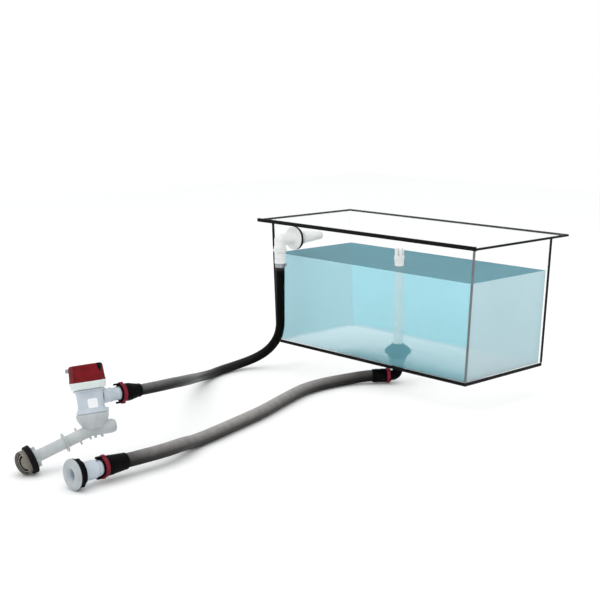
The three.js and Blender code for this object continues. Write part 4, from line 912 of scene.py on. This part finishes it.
dome = turned(
    [
        (0, 187.5), *cup_arc(26.7, DOME_RISE)[::-1], (26.7, 166), (25.5, 165.4), (25.5, 164), (26.7, 163.4),
        (26.7, 161.3), (13.6, 161.3), (13.6, 163.8), (24.1, 163.8), (24.1, DOME_WAIST), *cup_arc(24.1, 12.6),
        (0, 184.9),
    ],
    0,
)
SLOTS, PITCH = 9, 5.4
slots = [block((60, 3, 18), (0, (index - (SLOTS - 1) / 2) * PITCH, 180.6), 0) for index in range(SLOTS)]
cut = carved(dome, cut=slots)
print("strainer faces after the slots:", len(cut.data.polygons))
dress("intake_strainer", [turned_to(cut, TO_INTAKE)], AT_PUMP, STRAINER_BRONZE)
FLATNESS = 1.75
INSIDE = 25.2
# Painted shade: the cup's inside faces take black nylon.
second_finish(
    "intake_strainer", AT_PUMP @ TO_INTAKE, BLACK_NYLON,
    lambda at: math.hypot(at.x, at.y, FLATNESS * max(at.z - DOME_WAIST, 0)) < INSIDE,
)

# %% [markdown]
# The white locking collar tapers down to the ledge and has two small thumb tabs. The dark
# red cap over the motor is faceted, with a soft bevel on each edge, and has a notch for the
# black cable gland in its side and top.

# %% Collar and cap
lock = turned(
    [(34.8, 88.8), (37.4, 88.8), (38, 89.6), (39, 94), (40.4, 99), (41, 101), (41, 104.8), (34.8, 104.8)],
    0.8,
    96,
)
tab = block((3, 10, 5), edge=1)
tabs = round_copies(tab, COLLAR_ABS, count=2, radius=38.4, height=92.5, turn=2.2)
dress("pump_locking_collar", [lock, tabs], AT_PUMP, COLLAR_ABS)

cap = turned(
    [(0, 105.2), (42, 105.2), (42, 107.6), (41, 108.8), (39, 139.2), (38, 141.4), (35, 143.2), (0, 143.2)],
    0,
    12,
)
softened = cap.modifiers.new("edges", "BEVEL")
softened.width = 1.1
softened.segments = 3
softened.limit_method = "ANGLE"
softened.angle_limit = math.radians(20)
cap_body = plain(cap)
drop(cap)
hollow = turned(straight(0, 30, 100, 137.2), 0)
GLAND_TURN = math.radians(127)
notch = block((20, 13, 20), (36.5, 0, 140.2), 0.6, GLAND_TURN)
cap_body = carved(cap_body, [], [hollow, notch])
floor_of_notch = block((11.4, 14.4, 3), (32.4, 0, 128.6), 0.4, GLAND_TURN)
dress("motor_cap", [cap_body, floor_of_notch], AT_PUMP, RED_ABS)

gland = block((12.6, 12.4, 12.8), (33.5, 0, 136.9), 1.0, GLAND_TURN)
boot = turned([(0, -3), (4.6, -3), (4.6, 1), (3.8, 1.6), (3.8, 4), (0, 4)], 0.4, 32)
turned_to(boot, Matrix.Rotation(GLAND_TURN, 4, "Z") @ Matrix.Translation((36.5, 0, 136.4)) @ TO_X)
chin = block((4, 9, 7), (37.6, 0, 127.5), 1.2, GLAND_TURN)
dress("cable_gland", [gland, boot, chin], AT_PUMP, EPDM)
print("cap and collar done")

# %% [markdown]
# A plain white label film sits on the body, curved with it and left blank.

# %% Label
def curved_film(radius_at, turn, low, high, width, rise):
    """A film on a turned body, with its four corners cut back."""
    up, across = 12, 16
    mesh = bmesh.new()
    rows = []
    for i in range(up + 1):
        z = low + (high - low) * i / up
        half = width / 2 - (2.4, 0.7, 0)[min(i, up - i, 2)]
        row = []
        for k in range(across + 1):
            angle = turn + (k / across - 0.5) * 2 * half / radius_at(z)
            r = radius_at(z) + rise
            row.append(mesh.verts.new((r * math.cos(angle), r * math.sin(angle), z)))
        rows.append(row)
    for a, b in zip(rows, rows[1:]):
        for k in range(across):
            mesh.faces.new((a[k], a[k + 1], b[k + 1], b[k]))
    return mesh_object(mesh, "label_film")


def waist_radius(z):
    """The pump body's radius at a height, along the outline of its housing."""
    return max(30 + (49 - z) * 0.32, 29.5 + (55 - z) * 0.083, 29.5 + (z - 55) * 0.01, 29.6 + (z - 66) * 0.057)


label = curved_film(waist_radius, math.radians(86), low=46, high=67, width=22, rise=0.3)
label.data.transform(AT_PUMP @ Matrix.Scale(MM, 4))
label.data.shade_smooth()
label.data.materials.append(LABEL_FILM)
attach(label, "tank_and_plumbing")
print("label done")

# %% [markdown]
# ## Mushroom outlet
# The head is a shallow dome round a flared bore, painted a greyer shade than its tube. Behind it
# are the rubber seal, the black grip nut and the threaded tube. Faces behind HEAD_BACK have the
# tube's lighter plastic, and faces inside BORE_LIP take it as painted light in the bore.

# %% Outlet
mushroom = turned(
    [
        (11, 82.4), (11, 2), (11.2, -1), (12.2, -4), (14, -6.4), (17, -8.3), (20.5, -9.3), (24, -9.3), (28, -8.3),
        (31.5, -6.2), (33.6, -3.6), (34, -1.6), (33, 0), (20.5, 0), (20, 1), (20, 51), (19, 52.5), (16.5, 53.5),
        (16.5, 82.4),
    ],
    0.8,
    96,
)
tube_thread = thread(turns=9, radius=19.9, low=18.4, rise=32, depth=0.8, finish=OUTLET_HEAD_PAINTED_SHADE)
neck_ring = turned(straight(16, 18, 57, 60.5), 0.6)
dress("outlet_mushroom", [mushroom, tube_thread, neck_ring], AT_OUTLET, OUTLET_HEAD_PAINTED_SHADE)
HEAD_BACK = 0.2
BORE_LIP = 12.6
# The bore's faces take the lighter plastic as painted light in its hollow.
second_finish(
    "outlet_mushroom", AT_OUTLET, PUMP_ABS, lambda at: at.z > HEAD_BACK or math.hypot(at.x, at.y) < BORE_LIP
)
seal = turned([(20.8, 0.3), (32.2, 0.3), (33.2, 1.2), (33.2, 3.4), (32.2, 4.3), (20.8, 4.3)], 0.5, 96)
dress("outlet_seal", [seal], AT_OUTLET, EPDM)
nut = turned([(20.8, 4.6), (31.4, 4.6), (31.4, 6.4), (30, 7), (30, 14), (27.4, 17.6), (20.8, 17.6)], 0.7, 96)
grips = round_copies(block((3.2, 8, 9), edge=1.2), BLACK_NYLON, count=10, radius=29.8, height=10.6)
dress("outlet_nut", [nut, grips], AT_OUTLET, BLACK_NYLON)
print("outlet done")

# %% [markdown]
# ## Fill fitting
# The elbow is two short arms that meet in a ball. Its flange presses the black seal on the
# wall, and a nut holds it inside. Below are the coupling ring and the tail with the hose clamp.

# %% Elbow
DEPTH = 62
TO_KNEE = Matrix.Translation((0, 0, -DEPTH))
elbow = turned([(0, -DEPTH), (16.5, -DEPTH), (16.5, -4.6), (13.4, -4.6), (13.4, 26), (0, 26)], 0.6)
leg = turned(straight(0, 16.4, 0, 24), 0.6, 70)
# The ball is turned a little, so that no edge of it lies along an edge of an arm.
corner = turned_to(ball(16.7), Matrix.Rotation(math.pi / 4, 4, "X") @ Matrix.Rotation(0.02, 4, "Z"))
turned_to(corner, TO_KNEE)
flange = turned(
    [
        (0, -22), (17.5, -22), (19, -17), (23, -14.4), (30.5, -13), (32.4, -12), (33, -10.8), (33, -8.8),
        (32.4, -8.2), (0, -8.2),
    ],
    0.8,
    96,
)
rim = turned(straight(0, 17.8, 18, 26), 0.6, 76)
for part in (leg, rim):
    turned_to(part, TO_KNEE @ place((0, 0, 0), (0, 1, 0), (1, 0, 0)))
bore = swept(bend((0, 30, -DEPTH), (0, 0, -DEPTH), (0, 0, 30), 14), 10, 40)
elbow = carved(elbow, [leg, corner, flange, rim], [bore])
print("elbow faces:", len(elbow.data.polygons))
screw = thread(turns=5, radius=13.35, low=6.5, rise=9, depth=0.4, finish=WHITE_ABS)
dress("fill_elbow", [elbow, screw], AT_FILL, WHITE_ABS)
outline = [(13.8, -7.9), (32.4, -7.9), (33.2, -7.2), (33.2, -1), (32.6, -0.3), (13.8, -0.3)]
dress("fill_wall_seal", [turned(outline, 0.4, 96)], AT_FILL, EPDM)
nut = turned([(13.8, 6.3), (22, 6.3), (22, 14.6), (20, 16.3), (13.8, 16.3)], 0.5, 6)
dress("fill_inner_nut", [nut], AT_FILL, WHITE_ABS)

# %% Coupling, tail and clamp
AT_LEG = place((-277, -225, -40), (0, 0, -1), (1, 0, 0))
outline = [(10, 26.3), (19.6, 26.3), (20.6, 27.2), (20.6, 30.4), (17.6, 31.6), (17.6, 35.8), (10, 35.8)]
ring = turned(outline, 0.7)
grip = block((0.9, 1.8, 7), edge=0.3)
ring_grips = round_copies(grip, WHITE_ABS, count=24, radius=17.5, height=31)
dress("fill_coupling_ring", [ring, ring_grips], AT_LEG, WHITE_ABS)
outline = [
    (10, 36.1), (16, 36.1), (16, 52), (15.2, 53), (15.2, 55), (16, 56), (16, 66.4), (15.4, 67.1), (10, 67.1),
]
dress("fill_hose_tail", [turned(outline, 0.5)], AT_LEG, WHITE_ABS)
band = turned(straight(13.3, 14.7, 67.4, 78.4), 0.3)
slot = block((0.4, 1.2, 7), edge=0)
slots = round_copies(slot, STAINLESS, count=26, radius=14.7, height=72.9)
SCREW_TURN = math.radians(-47)
screw_box = block((5, 9, 8), (17, 0, 71.6), 0.7, SCREW_TURN)
screw = turned(straight(0, 2.6, -6, 6), 0.5, 24)
turned_to(screw, Matrix.Rotation(math.pi / 2, 4, "X"))
turned_to(screw, Matrix.Rotation(SCREW_TURN, 4, "Z") @ Matrix.Translation((17.5, 0, 72)))
dress("fill_hose_clamp", [band, slots, screw_box, screw], AT_LEG, STAINLESS)
print("coupling, tail and clamp done")

# %% [markdown]
# The nozzle is a tapered shell with rows of small holes that spray air-rich water. The
# holes are cut by a tree that repeats one short rod in rows round the axis. Between the
# flange and the holes it has shallow flutes, which lean in with the shell.

# %% Aerator nozzle
nozzle = turned(
    [
        (13.9, 16.7), (20, 16.7), (20.5, 17.6), (20.5, 23), (20, 23.7), (18.3, 24.6), (11.5, 97.7), (10.2, 99.4),
        (0, 99.7), (0, 97.3), (9.1, 97.3), (13.9, 26.4),
    ],
    0.5,
)
hole = turned_to(turned(straight(0, 1.3, -5, 5), 0, 14), TO_X)
nozzle = round_copies(
    hole, WHITE_ABS, base=nozzle,
    count=8, radius=12, height=66.0, rows=5, row_step=6.5, row_turn=math.pi / 8,
)
FLUTE_MIDDLE = 43
FLUTE_TAPER = 0.0052
flute = block((1.1, 1.6, 34), edge=0.4)
flutes = round_copies(flute, WHITE_ABS, count=10, radius=15.8, height=FLUTE_MIDDLE)
for vertex in flutes.data.vertices:
    lean = 1 - (vertex.co.z - FLUTE_MIDDLE) * FLUTE_TAPER
    vertex.co.x *= lean
    vertex.co.y *= lean
dress("aerator_nozzle", [nozzle, flutes], AT_FILL, WHITE_ABS)
print("fill fitting done")

# %% [markdown]
# ## Drain
# The standpipe has a slotted top, so that bait can't be drawn in, and a collar below the
# slots. It stands in a ribbed dark fitting that is sealed to the floor.

# %% Standpipe and drain fitting
pipe = turned(
    [
        (10.3, 23.3), (12.4, 23.3), (12.7, 24.2), (12.7, 276), (14.2, 284), (14.2, 292.4), (13.2, 293), (12.7, 294),
        (12.7, 311.2), (12, 312), (10.3, 312),
    ],
    0.4,
)
slot = block((14, 4.6, 20.4), edge=0)
pipe = round_copies(slot, WHITE_ABS, base=pipe, count=6, radius=10, height=303.6)
dress("overflow_standpipe", [pipe], AT_DRAIN, WHITE_ABS)

body = turned(
    [
        (10.2, -18), (13.6, -18), (14, -17.2), (14, 9.1), (25.4, 9.1), (26, 9.8), (26, 12.6), (29, 15), (33, 19),
        (34, 22), (34, 29), (32, 32), (20, 41), (17, 43.6), (17, 45), (13.1, 45), (13.1, 23), (10.2, 23),
    ],
    0.8,
    96,
)
grip = block((5.6, 5, 14), edge=1.6)
grips = round_copies(grip, BLACK_NYLON, count=8, radius=33.6, height=23)
dress("drain_body", [body, grips], AT_DRAIN, BLACK_NYLON)
dress("drain_gasket", [turned(straight(14.3, 26, 6.3, 8.8), 0.4)], AT_DRAIN, EPDM)
nut = turned([(14.3, -0.3), (14.3, -9.3), (22, -9.3), (23, -8.3), (23, -0.3)], 0.4, 6)
dress("drain_lock_nut", [nut], AT_DRAIN, BLACK_NYLON)
print("standpipe and drain fitting done")

# %% Drain elbow
TO_LEG = Matrix.Rotation(math.atan2(-0.8, -0.6), 4, "Z")
knee = turned_to(swept(bend((0, 0, -10), (0, 0, -46), (37.7, 0, -46), 16), 14, 64), TO_LEG)
cup = turned([(0, -29), (15, -29), (17.5, -26), (17.5, -9.6), (0, -9.6)], 0.8)
bore = turned_to(swept(bend((0, 0, -5), (0, 0, -46), (40, 0, -46), 14), 10.2, 40), TO_LEG)
seat = turned(straight(0, 14.3, -18.3, -5), 0)
knee = carved(knee, [cup], [bore, seat])
dress("drain_elbow", [knee], AT_DRAIN, BLACK_NYLON)
print("drain done")

# %% [markdown]
# ## Water
# The water fills the tank to just below the standpipe's slots. It is one closed shell a
# hair inside the walls. Its front, ends, back, floor and surface differ in finish, by painted light and shade.

# %% Water
HALF_LENGTH, HALF_WIDTH, TANK_DEPTH = 360, 156.6, 358
END_LEAN = 18.8 / TANK_DEPTH
WALL_GAP = 6.4
BASE, LEVEL = -351.4, -93


def water_shell():
    mesh = bmesh.new()
    rings = []
    for z in (BASE, LEVEL):
        x = HALF_LENGTH + END_LEAN * (z + TANK_DEPTH) - WALL_GAP
        corners = ((-x, -HALF_WIDTH), (x, -HALF_WIDTH), (x, HALF_WIDTH), (-x, HALF_WIDTH))
        rings.append([mesh.verts.new((*corner, z)) for corner in corners])
    for i in range(4):
        j = (i + 1) % 4
        side = mesh.faces.new((rings[0][i], rings[0][j], rings[1][j], rings[1][i]))
        side.material_index = (0, 1, 2, 1)[i]
    mesh.faces.new(rings[0][::-1]).material_index = 3
    mesh.faces.new(rings[1]).material_index = 4
    return mesh_object(mesh, "water")


water = water_shell()
water.data.transform(Matrix.Scale(MM, 4))
for finish in (WATER_FRONT, WATER_END, WATER_BACK, WATER_FLOOR, WATER_TOP):
    water.data.materials.append(finish)
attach(water, "tank_and_plumbing")
print("water stands", LEVEL - BASE, "mm deep")

# %% [markdown]
# ## Solids that stay
# The flat sheets, strips and the motor's inner pieces already have their true shape, so
# they only get their finish. The picture draws the rim's front edge thicker than the
# others, so a copy of that strip, a little taller, stands for it.

# %% Front edging of the rim
RAISED, LOWERED = 2 * MM, 0.8 * MM
edging = frame["nodes"]["rim_edging_front"].data.copy()
middle = sum(vertex.co.z for vertex in edging.vertices) / len(edging.vertices)
for vertex in edging.vertices:
    vertex.co.z += RAISED if vertex.co.z > middle else -LOWERED
edging.materials.clear()
edging.materials.append(BLACK_VINYL)
stand_for("rim_edging_front", edging)
print("front edging done")

# %% Finishes for the solids that stay
STAY = [
    (ACRYLIC, ["tank_floor_panel", "tank_front_panel", "tank_back_panel", "tank_left_panel", "tank_right_panel",
               "rim_flange_front", "rim_flange_back", "rim_flange_left", "rim_flange_right"]),
    (BLACK_VINYL, ["rim_edging_back", "rim_edging_left", "rim_edging_right", "corner_strip_front_left",
                   "corner_strip_back_right", "base_strip_front", "base_strip_right"]),
    (GREY_VINYL, ["corner_strip_front_right"]),
    (GREY_ACETAL, ["lock_tab", "impeller"]),
    (STAINLESS, ["motor_can", "motor_shaft", "motor_armature", "upper_bearing", "lower_bearing"]),
    (EPDM, ["shaft_seal", "cartridge_o_ring"]),
]
for finish, nodes in STAY:
    for node in nodes:
        data = frame["nodes"][node].data
        data.materials.clear()
        data.materials.append(finish)
print("kept solids:", sum(len(nodes) for finish, nodes in STAY))

# %% [markdown]
# ## Stage
# A wide pale floor lies under the hoses, and soft light comes from everywhere, with a large
# lamp above and a smaller one at the front left, as in a catalogue picture.

# %% Floor and light
GROUND = -0.4263
floor_mesh = bpy.data.meshes.new("stage_floor")
floor_mesh.from_pydata([(-5, -5, GROUND), (5, -5, GROUND), (5, 5, GROUND), (-5, 5, GROUND)], [], [(0, 1, 2, 3)])
floor = shown("stage_floor", floor_mesh)
floor_finish, tree = new_finish("pale_floor")
shader = add(tree, "ShaderNodeBsdfPrincipled", inputs={"Base Color": linear("#fbfcfc"), "Roughness": 0.9})
add(tree, "ShaderNodeOutputMaterial", inputs={"Surface": shader})
floor_mesh.materials.append(floor_finish)

world = bpy.data.worlds.new("soft_room")
world.use_nodes = True
background = world.node_tree.nodes["Background"].inputs
background[0].default_value = (1, 1, 1, 1)
background[1].default_value = 1.0
bpy.context.scene.world = world


def lamp(name, place_at, aim, size, watts):
    data = bpy.data.lights.new(name, "AREA")
    data.size = size
    data.energy = watts
    made = shown(name, data)
    made.location = place_at
    made.rotation_euler = (Vector(aim) - Vector(place_at)).to_track_quat("-Z", "Y").to_euler()


lamp("overhead", (-0.3, -0.8, 3.2), (0, -0.5, -0.3), 3.5, 26)
lamp("left_key", (-0.6, -3.2, 2.2), (0.1, -1.0, -0.3), 1.6, 8)
print("lamps:", len(bpy.data.lights))
